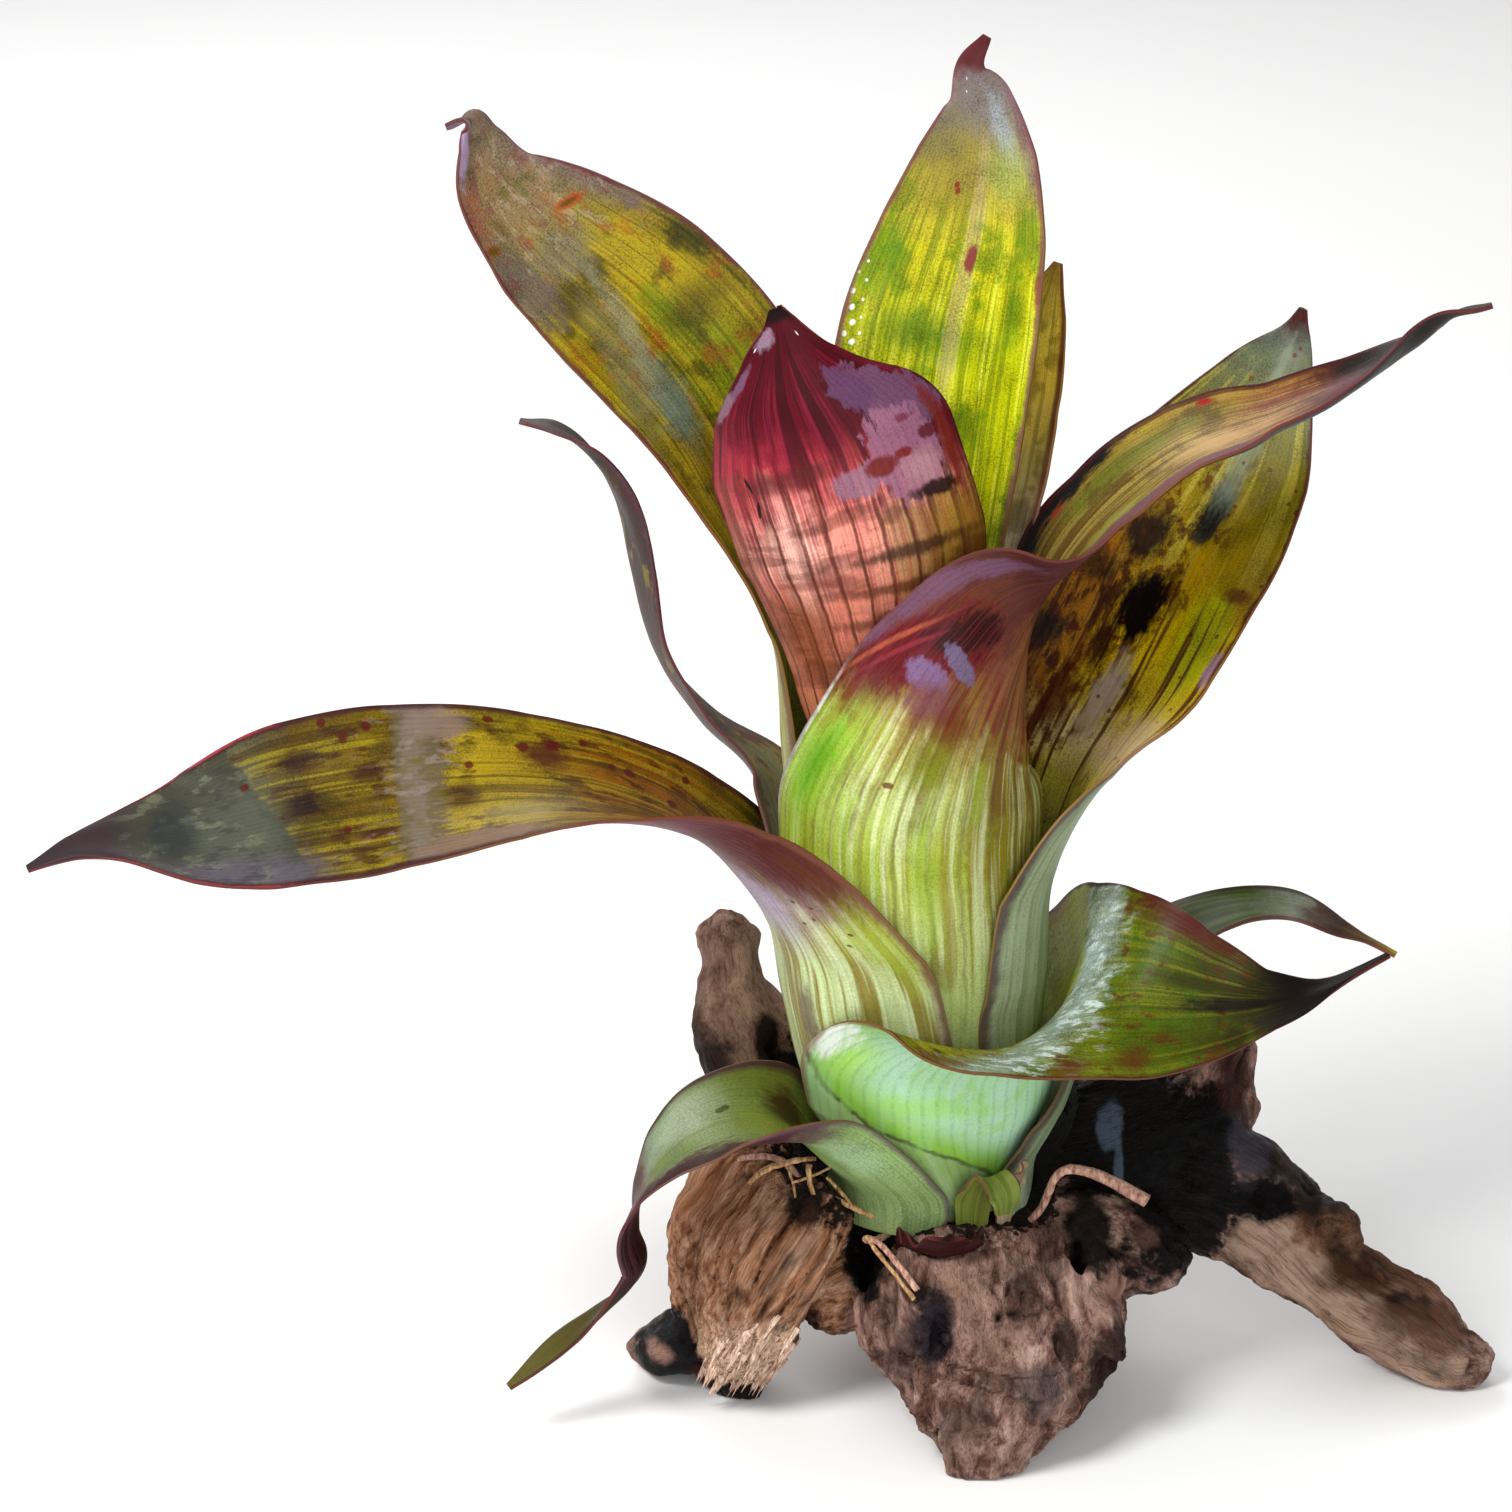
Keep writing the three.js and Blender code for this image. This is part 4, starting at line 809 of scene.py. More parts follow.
            ("veil", -0.3, 33, 10, 4, 0, "5c3c48", 0.7, 0.6), ("stipple", "1c1014", 0.5),
            ("margin", "5c4450", 0.05, 0.8)]),
    # The old scales at the foot
    # The red scale: dark red going to near black low down as painted shade inside the pocket it forms, with a
    # pale lilac rim as a painted highlight
    "scale_red": dict(
        inner=[
            ("run", (0, "1c0404"), (12, "140202"), (20, "3c0c0c"), (26, "9c747c")),
            ("stipple", "0c0202", 0.4)],
        outer=[
            ("run", (0, "2c0c08"), (12, "2c0808"), (20, "541414"), (24, "7c4448"), (26, "c0a4b4")),
            ("stipple", "1c0404", 0.4)]),
    "scale_curled": dict(
        inner=[
            ("run", (0, "545c20"), (20, "687430")), ("stripes", 8, "44540c", 0.6, 0, 30)],
        outer=[
            ("run", (0, "687430"), (20, "7c883c")), ("stripes", 8, "545c14", 0.6, 0, 30)]),
    "scale_dry": dict(inner=dry_scale_look, outer=dry_scale_look),
}


# How far the ends of windows, of runs of colour and of lines across waver, in millimetres along the leaf
window_waver = 26.0
run_waver = 12.0
line_waver = 5.0
# What a share of 1 counts for, in millimetres, in the sizes of patches and dots
share_reach = 16.0
bloom_roughness = 0.6
belt_edge = 0.8
rib_waves = 110.0
rib_height = 0.00007


class LeafPaint(Paint):
    """A leaf's finish. share runs across it, and along and sheet are in millimetres."""

    def __init__(self, name):
        super().__init__(name)
        self.leaf = self.uv("leaf")
        self.sheet = self.uv("sheet")
        self.share, self.along = self.split(self.leaf)[:2]
        self.across = self.split(self.sheet)[0]
        self.waver = self.math("SUBTRACT", self.noise(self.sheet, 0.16, 3.0, 0.6), 0.5)
        streaked = self.vector(self.times(self.across, 0.9), self.times(self.along, 0.34))
        self.rag = self.math("SUBTRACT", self.noise(streaked, 1.0, 5.0, 0.68), 0.5)
        self.tone = colour("808040")
        self.gloss = 0.45

    def window(self, low, high, fade=6.0):
        """1 between two places along the leaf, with soft and wavering ends."""
        at = self.moved(self.along, self.waver, window_waver)
        opened = self.step(at, low - fade, low + fade)
        closed = self.step(at, high - fade, high + fade, 1.0, 0.0)
        return self.times(opened, closed)

    def run(self, *stops):
        """The ground: colours one after the other along the leaf."""
        reach = max(1.0, stops[-1][0])
        at = self.moved(self.along, self.waver, run_waver)
        share = self.math("DIVIDE", at, reach)
        self.tone = self.ramp(share, [(min(1.0, along / reach), text) for along, text in stops])

    def stripes(self, count, text, strength, low, high):
        """Uneven stripes along the leaf."""
        across = self.moved(self.share, self.waver, 0.02)
        at = self.vector(self.times(across, count * 0.5), self.times(self.along, 0.012), count)
        lines = self.step(self.noise(at, 1.6, 2.0, 0.6), 0.49, 0.6)
        self.lay(self.times(lines, self.window(low, high), strength), text)

    def lines(self, count, text, strength, low, high):
        """Thin lines along the leaf, evenly spaced."""
        across = self.moved(self.share, self.waver, 0.05)
        wave = self.math("SINE", self.times(across, count * math.pi))
        broken = self.step(self.rag, -0.3, 0.05, 0.35, 1.0)
        self.lay(self.times(self.step(wave, 0.8, 1.0), broken, self.window(low, high), strength), text)

    def bands(self, period, text, strength, low, high):
        """Uneven bands across the leaf."""
        at = self.vector(self.times(self.share, 0.9), self.math("DIVIDE", self.along, period), 3.0)
        lines = self.step(self.noise(at, 1.3, 3.0, 0.55, 0.4), 0.5, 0.62)
        self.lay(self.times(lines, self.window(low, high), strength), text)

    def blotches(self, size, stretch, cover, text, strength, low, high, side=-2.0):
        """Scattered blotches, from side on to the leaf's edge at a share of 1."""
        at = self.vector(self.math("DIVIDE", self.across, size),
                         self.math("DIVIDE", self.along, size * stretch), size)
        level = 0.68 - 0.36 * cover
        spots = self.step(self.noise(at, 1.0, 5.0, 0.62), level, level + 0.09)
        here = self.step(self.share, side - 0.2, side + 0.2)
        self.lay(self.times(spots, self.window(low, high), strength, here), text)

    def stipple(self, text, strength):
        grain = self.moved(self.noise(self.sheet, 2.6, 4.0, 0.85), self.waver, 0.3)
        self.lay(self.times(self.step(grain, 0.42, 0.68), strength), text)

    def patch(self, share, along, wide, high, turn, text, strength, edge, roughness=None):
        """An oval with a ragged edge."""
        x = self.times(self.math("SUBTRACT", self.share, share), share_reach)
        distance = self.oval_distance(self.vector(x, self.along), (0.0, along, 0.0), math.radians(turn),
                                      (wide, high, 1.0))
        distance = self.moved(distance, self.rag, 1.6)
        distance = self.moved(distance, self.waver, 1.1)
        self.lay(self.times(self.within(distance, edge), strength), text, roughness)

    def veil(self, *values):
        """A patch with the bloom's roughness: a dry patch with a waxy bloom, and on some leaves a painted
        sheen of light.
        """
        self.patch(*values, roughness=bloom_roughness)

    def dots(self, radius, text, strength, *places):
        """Small round marks of one colour, at places of share and along."""
        nearest = None
        for share, along in places:
            offset = self.vector(self.times(self.math("SUBTRACT", self.share, share), share_reach),
                                 self.math("SUBTRACT", self.along, along))
            distance = self.vector_math("LENGTH", offset)
            nearest = distance if nearest is None else self.math("MINIMUM", nearest, distance)
        nearest = self.moved(nearest, self.rag, radius * 1.4)
        self.lay(self.times(self.step(nearest, radius * 0.7, radius * 1.2, 1.0, 0.0), strength), text)

    def belt(self, low, high, rough_low, rough_high, text, strength):
        """A ragged belt across the leaf between two places along it."""
        at = self.moved(self.along, self.waver, line_waver)
        start = self.moved(at, self.rag, 4.0 + 3 * rough_low)
        finish = self.moved(at, self.rag, 3.0 + 3 * rough_high)
        begun = self.step(start, low - belt_edge, low + belt_edge)
        unended = self.step(finish, high - belt_edge, high + belt_edge, 1.0, 0.0)
        self.lay(self.times(begun, unended, strength), text, bloom_roughness)

    def beyond(self, along, slope, text, strength, edge):
        """All that lies past a slanted, slightly wavering line across the leaf."""
        at = self.moved(self.along, self.share, slope)
        at = self.moved(at, self.waver, line_waver)
        self.lay(self.times(self.step(at, along - edge, along + edge), strength), text, bloom_roughness)

    def spots(self, cell, radius, chance, text, strength):
        """Small round spots, one by chance in each cell."""
        scatter = self.node("ShaderNodeTexVoronoi", feature="F1")
        self.fill(scatter, {"Vector": self.sheet, "Scale": 1.0 / cell})
        distance = self.moved(self.times(scatter.outputs["Distance"], cell), self.rag, 0.8)
        dot = self.step(distance, radius * 0.7, radius * 1.3, 1.0, 0.0)
        picked = self.math("LESS_THAN", self.split(scatter.outputs["Color"])[0], chance)
        self.lay(self.times(dot, picked, strength), text)

    def margin(self, text, width, strength, low=-99, high=999):
        """A line along both edges of the leaf."""
        edge = self.moved(self.math("ABSOLUTE", self.share), self.waver, 0.1)
        line = self.step(edge, 1 - 2 * width, 1 - width * 0.4)
        self.lay(self.times(line, strength, self.window(low, high, 3.0)), text)

    def finish(self):
        """Ribs, grain and gloss."""
        ribs = self.math("SINE", self.times(self.share, rib_waves))
        grain = self.noise(self.sheet, 1.4, 3.0, 0.6)
        veins = self.times(self.step(ribs, 0.2, 1.0), self.step(grain, 0.35, 0.6, 0.04, 0.22))
        veined = self.mix(1.0, self.tone, colour("8c8068"), "MULTIPLY")
        return self.surface({
            "Base Color": self.mix(veins, self.tone, veined),
            "Normal": self.bump(self.moved(grain, ribs, 0.12), rib_height),
            "Roughness": self.moved(self.gloss, self.rag, 0.25),
            "Specular IOR Level": 0.11,
            "Coat Weight": 0.04,
            "Coat Roughness": 0.2,
            "Subsurface Weight": 0.07,
            "Subsurface Radius": (0.9, 1.0, 0.25),
            "Subsurface Scale": 0.0008,
        })


def leaf_finish(name, layers):
    paint = LeafPaint(name)
    for kind, *values in layers:
        getattr(paint, kind)(*values)
    return paint.finish()


def leaf_finishes(name):
    """The materials of a leaf's outer side, its inner side and its rim."""
    look = looks[name]
    rim = [look["inner"][0], ("margin", "5c2428", 0.5, 0.8)]
    return [leaf_finish(name + "_outer", look["outer"]), leaf_finish(name + "_inner", look["inner"]),
            leaf_finish(name + "_rim", rim)]


leaf_pieces = []
for leaf_name in leaves:
    leaf = leaf_piece(leaf_name, *(scale_grid if leaf_name.startswith("scale") else leaf_grid))
    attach(leaf, "root")
    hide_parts(leaf_name)
    leaf_pieces.append(leaf)


# The wood: limbs that run into one another, as x, y, z, half width and half thickness
limbs = {
    "left_block": [(24, 6, 26, 16, 12), (10, 0, 34, 17, 11), (1, -6, 33, 18, 10), (-3, -11, 23, 16.5, 9),
                   (-4, -12, 12, 12, 8), (-4, -10, 4, 8, 6), (-4, -9, -4, 5, 4)],
    "front_foot": [(38, 8, 22, 19, 12), (39, -8, 24, 22, 11), (40, -20, 21, 23, 11), (40, -29, 14, 20, 9),
                   (38.5, -35, 7, 13, 7), (38, -38, 2, 8, 5), (38, -40, -4, 5, 3)],
    "trunk": [(34, 10, 26, 15, 13), (50, 10, 32, 14, 14), (66, 11, 36, 12, 15), (77, 12, 41, 8.5, 12),
              (81.5, 13, 50, 5, 6), (84, 14, 54.5, 3.5, 4)],
    "right_leg": [(62, 10, 32, 12, 13), (78, 8, 31, 10, 13), (90, 5, 24, 9, 10), (101, 0, 14.5, 8, 7.5),
                  (112, -4, 9, 8, 7.5), (120, -8, 4.5, 7, 6), (126, -9, 3.5, 4, 4)],
    "back_knob": [(20, 12, 24, 15, 13), (10, 18, 36, 12, 11), (0, 23, 48, 11.5, 9.5), (-4, 25, 58, 7.5, 7),
                  (-4.5, 26, 64, 5, 5.5), (-5, 26, 69, 5.5, 5.5), (-5, 26, 71.5, 3.5, 3.5)],
    "rear_foot": [(36, 10, 26, 16, 12), (40, 24, 22, 13, 11), (44, 34, 12, 10, 8), (46, 38, 3, 7, 6),
                  (46, 39, -4, 5, 4)],
    "right_lobe": [(48, 4, 26, 13, 11), (60, -3, 25, 12, 10), (67, -7, 24, 9, 8), (72, -9, 22, 5, 5)],
    "web": [(28, 4, 24, 12, 10), (20, -3, 20, 11, 10), (15, -9, 19, 9, 8), (10, -13, 18, 7, 7)],
    "left_nub": [(0, -8, 12, 9, 7), (-10, -6, 7, 7, 6), (-17, -4, 4, 5.5, 4.5), (-20, -3, 3, 3, 3)],
    "front_lump": [(50, -20, 22, 9, 7), (56.5, -24, 19, 6.5, 6.5), (57.5, -27, 13, 5, 6)],
    "leg_lump": [(94, 3, 22, 7, 7), (100, 2, 23.5, 6, 6), (103, 1, 24, 3.5, 3.5)],
}
# How deep each limb's fibres are, and the way they run where that isn't along the limb
fibre_depths = {"left_block": 0.55, "front_foot": 0.6, "trunk": 0.5, "right_leg": 0.4, "back_knob": 0.2,
                "rear_foot": 0.5, "right_lobe": 0.5, "web": 0.6, "left_nub": 0.2, "front_lump": 0.5,
                "leg_lump": 0.4}
fibre_ways = {"left_block": Vector((-0.5, -0.3, -0.81)).normalized()}
limb_sides = 24
limb_steps = 2
limb_samples = 24
tip_length = 2.0
tip_narrowing = 0.45
knots = 0.07
knot_turn = 0.65
ridges = 0.05
ridge_turn = 0.45
seat_radius = 27.0
seat_centre = Vector((30, -1, 55.5))
leaf_clearance = 0.4
voxel = 0.66
hollow_unevenness = 0.35
hollow_unevenness_scale = 1.3
# The wood's relief: depths in millimetres, and for what follows the fibre how many waves there are to a
# millimetre across it and along it, with an offset that sets each apart from the others
lump_depth = 0.9
small_lump_depth = 0.35
knot_free_depth = 0.6
fold_depth = 2.6
coarse_depth = 1.3
coarse_middle = 0.55
fine_depth = 0.8
crack_depth = 1.9
crack_width = 0.1
pit_depth = 0.9
fold_waves = (0.11, 0.022, 3, 0)
coarse_waves = (0.34, 0.035, 0, 0)
fine_waves = (1.0, 0.09, 0, 7)
crack_waves = (0.22, 0.028, 9, 0)
pitted_limbs = ("front_foot", "front_lump", "right_lobe")
ray_reach = 4
calm_height = 2.0
foot_height = 0.35
# Hollows that rot and water have made, as a middle and three radii
hollows = [
    (8, -10, 45, 8, 6, 4.5), (15, -9, 40, 5, 6, 5), (18.5, -14, 29, 2.6, 7, 9), (27, -31, 27.5, 4, 3, 2.5),
    (31, -32.5, 23.5, 2.2, 3.2, 5.5), (55, -17, 30, 2.2, 5, 7), (60, -29, 13, 2.6, 3, 4),
    (88.5, -2.5, 32, 4.5, 2.6, 2.8), (3, 15.5, 53, 1.8, 2.5, 4), (51, -33, 21, 1.3, 3, 4),
    (72, -10, 34, 3, 4, 3), (106, -5, 20, 1.6, 2, 2),
]


def limb_sections(stations, steps):
    """Level by level: the middle of a section, its three directions and its two half sizes."""
    places = [Vector(s[:3]) for s in stations]
    forms = [Vector((s[3], s[4], 0)) for s in stations]
    sections = []
    across = None
    for i in range(steps + 1):
        t = i / steps
        centre, form = spline(places, t), spline(forms, t)
        tangent = (spline(places, min(1, t + 0.005)) - spline(places, max(0, t - 0.005))).normalized()
        if across is None:
            across = Vector((-tangent.y, tangent.x, 0))
        across = (across - tangent * across.dot(tangent)).normalized()
        sections.append((centre, across.copy(), tangent.cross(across), tangent, form.x, form.y))
    return sections


def limb_piece(name):
    """A limb: one end face, drawn out from section to section."""
    sections = limb_sections(limbs[name], (len(limbs[name]) - 1) * limb_steps)
    pick()
    bpy.ops.mesh.primitive_circle_add(vertices=limb_sides, radius=1.0, fill_type="NGON", location=(0, 0, 0))
    limb = bpy.context.object
    limb.name = name
    bpy.ops.object.mode_set(mode="EDIT")
    before = None
    for i, section in enumerate(sections):
        if before is not None:
            bpy.ops.mesh.extrude_region_move()
        centre, across, over, _, wide, thick = section
        shape = bmesh.from_edit_mesh(limb.data)
        for vertex in (v for v in shape.verts if v.select):
            if before is None:
                x, y = vertex.co.x, vertex.co.y
            else:
                offset = vertex.co / mm - shift - before[0]
                x, y = offset.dot(before[1]) / before[4], offset.dot(before[2]) / before[5]
            angle = math.atan2(y, x)
            rough = (1 + knots * math.sin(3 * angle + knot_turn * i)
                     + ridges * math.sin(5 * angle - ridge_turn * i))
            outline = across * math.cos(angle) * wide + over * math.sin(angle) * thick
            vertex.co = (centre + outline * rough + shift) * mm
        bmesh.update_edit_mesh(limb.data)
        before = section
    bpy.ops.mesh.extrude_region_move()
    shape = bmesh.from_edit_mesh(limb.data)
    for vertex in (v for v in shape.verts if v.select):
        vertex.co = vertex.co.lerp((before[0] + shift) * mm, tip_narrowing) + before[3] * tip_length * mm
    bmesh.update_edit_mesh(limb.data)
    bpy.ops.mesh.select_all(action="SELECT")
    bpy.ops.mesh.normals_make_consistent(inside=False)
    bpy.ops.object.mode_set(mode="OBJECT")
    return limb


def join_all(pieces, name):
    pick(*pieces)
    bpy.ops.object.join()
    pieces[0].name = name
    pieces[0].data.name = name
    return pieces[0]


def hollow_cutter(x, y, z, wide, deep, high):
    """A ball squashed to a hollow's radii, with uneven walls."""
    pick()
    bpy.ops.mesh.primitive_ico_sphere_add(subdivisions=4, radius=1.0, location=(0, 0, 0))
    ball = bpy.context.object
    for vertex in ball.data.vertices:
        at = vertex.co * hollow_unevenness_scale + Vector((x, y, z))
        vertex.co *= 1 + hollow_unevenness * noise.fractal(at, 1.0, 2.0, 3)
    ball.scale = (wide * mm, deep * mm, high * mm)
    ball.location = place(x, y, z)
    settle(ball)
    return ball


def cut_away(piece, cutter):
    cut = piece.modifiers.new("cut", "BOOLEAN")
    cut.operation = "DIFFERENCE"
    cut.solver = "MANIFOLD"
    cut.object = cutter
    apply_modifiers(piece)
    bpy.data.objects.remove(cutter)


def remesh(piece):
    grown = piece.modifiers.new("grown together", "REMESH")
    grown.mode = "VOXEL"
    grown.voxel_size = voxel * mm
    apply_modifiers(piece)


def grain_of(points):
    """For each point: its place in the nearest limb's grain, that limb, and how surely it is that limb's."""
    best = np.full(len(points), 1e9)
    second = np.full(len(points), 1e9)
    grain = np.zeros((len(points), 3))
    owner = np.zeros(len(points), int)
    for number, (name, stations) in enumerate(limbs.items()):
        sections = limb_sections(stations, limb_samples)
        length = 0.0
        near = np.full(len(points), 1e9)
        own = np.zeros((len(points), 3))
        for i, (centre, across, over, tangent, wide, thick) in enumerate(sections):
            if i:
                length += (centre - sections[i - 1][0]).length
            offset = points - np.array(centre)
            local = offset @ np.array([across, over, tangent]).T
            distance = np.sqrt((local[:, 0] / wide) ** 2 + (local[:, 1] / thick) ** 2
                               + (local[:, 2] / wide) ** 2)
            closer = distance < near
            near[closer] = distance[closer]
            own[closer] = (local + np.array([0.0, 0.0, length]))[closer]
        if name in fibre_ways:
            way = fibre_ways[name]
            side = way.cross(Vector((0, 1, 0))).normalized()
            own = points @ np.array([side, way.cross(side), way]).T
        ahead = near < best
        second = np.where(ahead, best, np.minimum(second, near))
        best = np.where(ahead, near, best)
        grain[ahead] = own[ahead]
        owner[ahead] = number
    sure = np.clip((second - best) / 0.2, 0, 1)
    return grain, owner, sure


def fibre_noise(fibre, across, along, offset_across, offset_along):
    return noise.noise(Vector((fibre.x * across + offset_across, fibre.y * across,
                               fibre.z * along + offset_along)))


def weather(wood, neighbours):
    """Fibres, lumps, cracks and pits, as moves of the wood's own points along their normals."""
    mesh = wood.data
    count = len(mesh.vertices)
    points = np.empty(count * 3)
    mesh.vertices.foreach_get("co", points)
    points = points.reshape(-1, 3) / mm - np.array(shift)
    normals = np.empty(count * 3)
    mesh.vertex_normals.foreach_get("vector", normals)
    normals = normals.reshape(-1, 3)
    grain, owner, sure = grain_of(points)
    depths = np.array([fibre_depths[name] for name in limbs])[owner]
    pitted = np.isin(owner, [list(limbs).index(name) for name in pitted_limbs])
    moves = np.empty(count)
    for k in range(count):
        point, fibre = Vector(points[k]), Vector(grain[k])
        lumps = lump_depth * noise.fractal(point * 0.085, 1.0, 2.0, 2)
        lumps += small_lump_depth * noise.noise(point * 0.45)
        folds = fold_depth * fibre_noise(fibre, *fold_waves) * depths[k]
        coarse = abs(fibre_noise(fibre, *coarse_waves)) * 2
        fine = fibre_noise(fibre, *fine_waves)
        split = fibre_noise(fibre, *crack_waves)
        crack = smooth((crack_width - abs(split)) / crack_width) * smooth(noise.noise(point * 0.09) * 3 + 0.2)
        fibres = depths[k] * (coarse_depth * coarse - coarse_middle + fine_depth * fine - crack_depth * crack)
        plain = knot_free_depth * noise.noise(point * 0.6)
        pit = 0.0
        if pitted[k]:
            near = noise.voronoi(point * 0.24 + fibre * 0.06)[0][0]
            pit = pit_depth * smooth((0.5 - near) / 0.35) * smooth(noise.noise(point * 0.12) * 3 + 0.7)
        moves[k] = lumps + (folds + fibres) * sure[k] + plain * (1 - sure[k]) - pit
    moves *= np.clip(points[:, 2] / calm_height, 0, 1)
    for k in range(count):
        start = mesh.vertices[k].co
        ahead = neighbours.ray_cast(start, Vector(normals[k]), ray_reach * mm)
        if ahead[0] is not None:
            moves[k] = min(moves[k], ahead[3] / mm - leaf_clearance)
    moved = points + normals * moves[:, None]
    from_seat = moved - np.array(seat_centre)
    distance = np.linalg.norm(from_seat, axis=1)
    inside = distance < seat_radius
    moved[inside] = np.array(seat_centre) + from_seat[inside] / distance[inside][:, None] * seat_radius
    moved[points[:, 2] < foot_height, 2] = 0.0
    moved[:, 2] = np.maximum(moved[:, 2], 0.0)
    mesh.vertices.foreach_set("co", ((moved + np.array(shift)) * mm).ravel())
    for name, kind, field, values in (("grain", "FLOAT_VECTOR", "vector", grain),
                                      ("sure", "FLOAT", "value", sure),
                                      ("height", "FLOAT", "value", moves)):
        layer = mesh.attributes.new(name, kind, "POINT")
        layer.data.foreach_set(field, np.asarray(values, float).ravel())
    mesh.update()


def driftwood_piece():
    wood = join_all([limb_piece(name) for name in limbs], "driftwood_fine")
    remesh(wood)
    pick()
    bpy.ops.mesh.primitive_uv_sphere_add(segments=64, ring_count=32, radius=seat_radius * mm,
                                         location=(seat_centre + shift) * mm)
    cut_away(wood, bpy.context.object)
    pick()
    bpy.ops.mesh.primitive_cube_add(size=0.4, location=(0, 0, -0.2))
    cut_away(wood, bpy.context.object)
    for hollow in hollows:
        cut_away(wood, hollow_cutter(*hollow))
    remesh(wood)
    soften = wood.modifiers.new("soften", "SMOOTH")
    soften.factor = 0.5
    soften.iterations = 3
    apply_modifiers(wood)
    leaf_faces = bmesh.new()
    for piece in leaf_pieces:
        leaf_faces.from_mesh(piece.data)
    weather(wood, BVHTree.FromBMesh(leaf_faces))
    leaf_faces.free()
    pick(wood)
    bpy.ops.object.shade_smooth_by_angle(angle=math.radians(50))
    return wood


class WoodPaint(Paint):
    """Driftwood: two woods, mottled and fibrous, with zones of colour laid over them."""

    def __init__(self, name):
        super().__init__(name)
        self.place = self.object_place()
        self.grain = self.attribute("grain", "Vector")
        self.sure = self.attribute("sure")
        self.height = self.attribute("height")
        self.waver = self.math("SUBTRACT", self.noise(self.place, 0.14, 5.0, 0.62), 0.5)
        self.rag = self.math("SUBTRACT", self.noise(self.place, 0.6, 4.0, 0.65), 0.5)
        self.streak = self.along_grain(0.07, 0.8, 5.0, 0.62)
        self.thread = self.along_grain(0.05, 2.6, 3.0, 0.6)
        self.mottle = self.along_grain(0.45, 0.33, 7.0, 0.68, 0.4)
        self.gloss = 0.72
        self.tone = None

    def along_grain(self, stretch, *noise_values):
        """Noise that is drawn out along the wood's grain."""
        return self.noise(self.vector_math("MULTIPLY", self.grain, (1.0, 1.0, stretch)), *noise_values)

    def inside(self, x, y, z, wide, deep, high, edge):
        """1 inside a ball squashed to three radii, and 0 outside it, with a ragged edge."""
        distance = self.oval_distance(self.place, Vector((x, y, z)) + shift, 0.0, (wide, deep, high))
        distance = self.moved(distance, self.waver, 1.3)
        distance = self.moved(distance, self.rag, 0.6)
        return self.within(distance, edge)

    def zone(self, x, y, z, wide, deep, high, text, strength, edge=0.2, roughness=None):
        factor = self.times(self.inside(x, y, z, wide, deep, high, edge), strength)
        self.lay(factor, text, roughness)

    def strip(self, start, end, radius, text, strength, edge=0.2, roughness=None):
        """A zone within a radius of the line from start to end."""
        reach = Vector(end) - Vector(start)
        offset = self.vector_math("SUBTRACT", self.place, Vector(start) + shift)
        product = self.node("ShaderNodeVectorMath", (offset, reach / reach.length_squared),
                            operation="DOT_PRODUCT")
        share = self.node("ShaderNodeClamp", (product.outputs["Value"],)).outputs[0]
        foot = self.node("ShaderNodeVectorMath", (reach,), operation="SCALE")
        self.put(foot.inputs["Scale"], share)
        distance = self.vector_math("LENGTH", self.vector_math("SUBTRACT", offset, foot.outputs[0]))
        distance = self.math("DIVIDE", distance, radius)
        distance = self.moved(distance, self.waver, 1.1)
        distance = self.moved(distance, self.rag, 0.5)
        self.lay(self.times(self.within(distance, edge), strength), text, roughness)


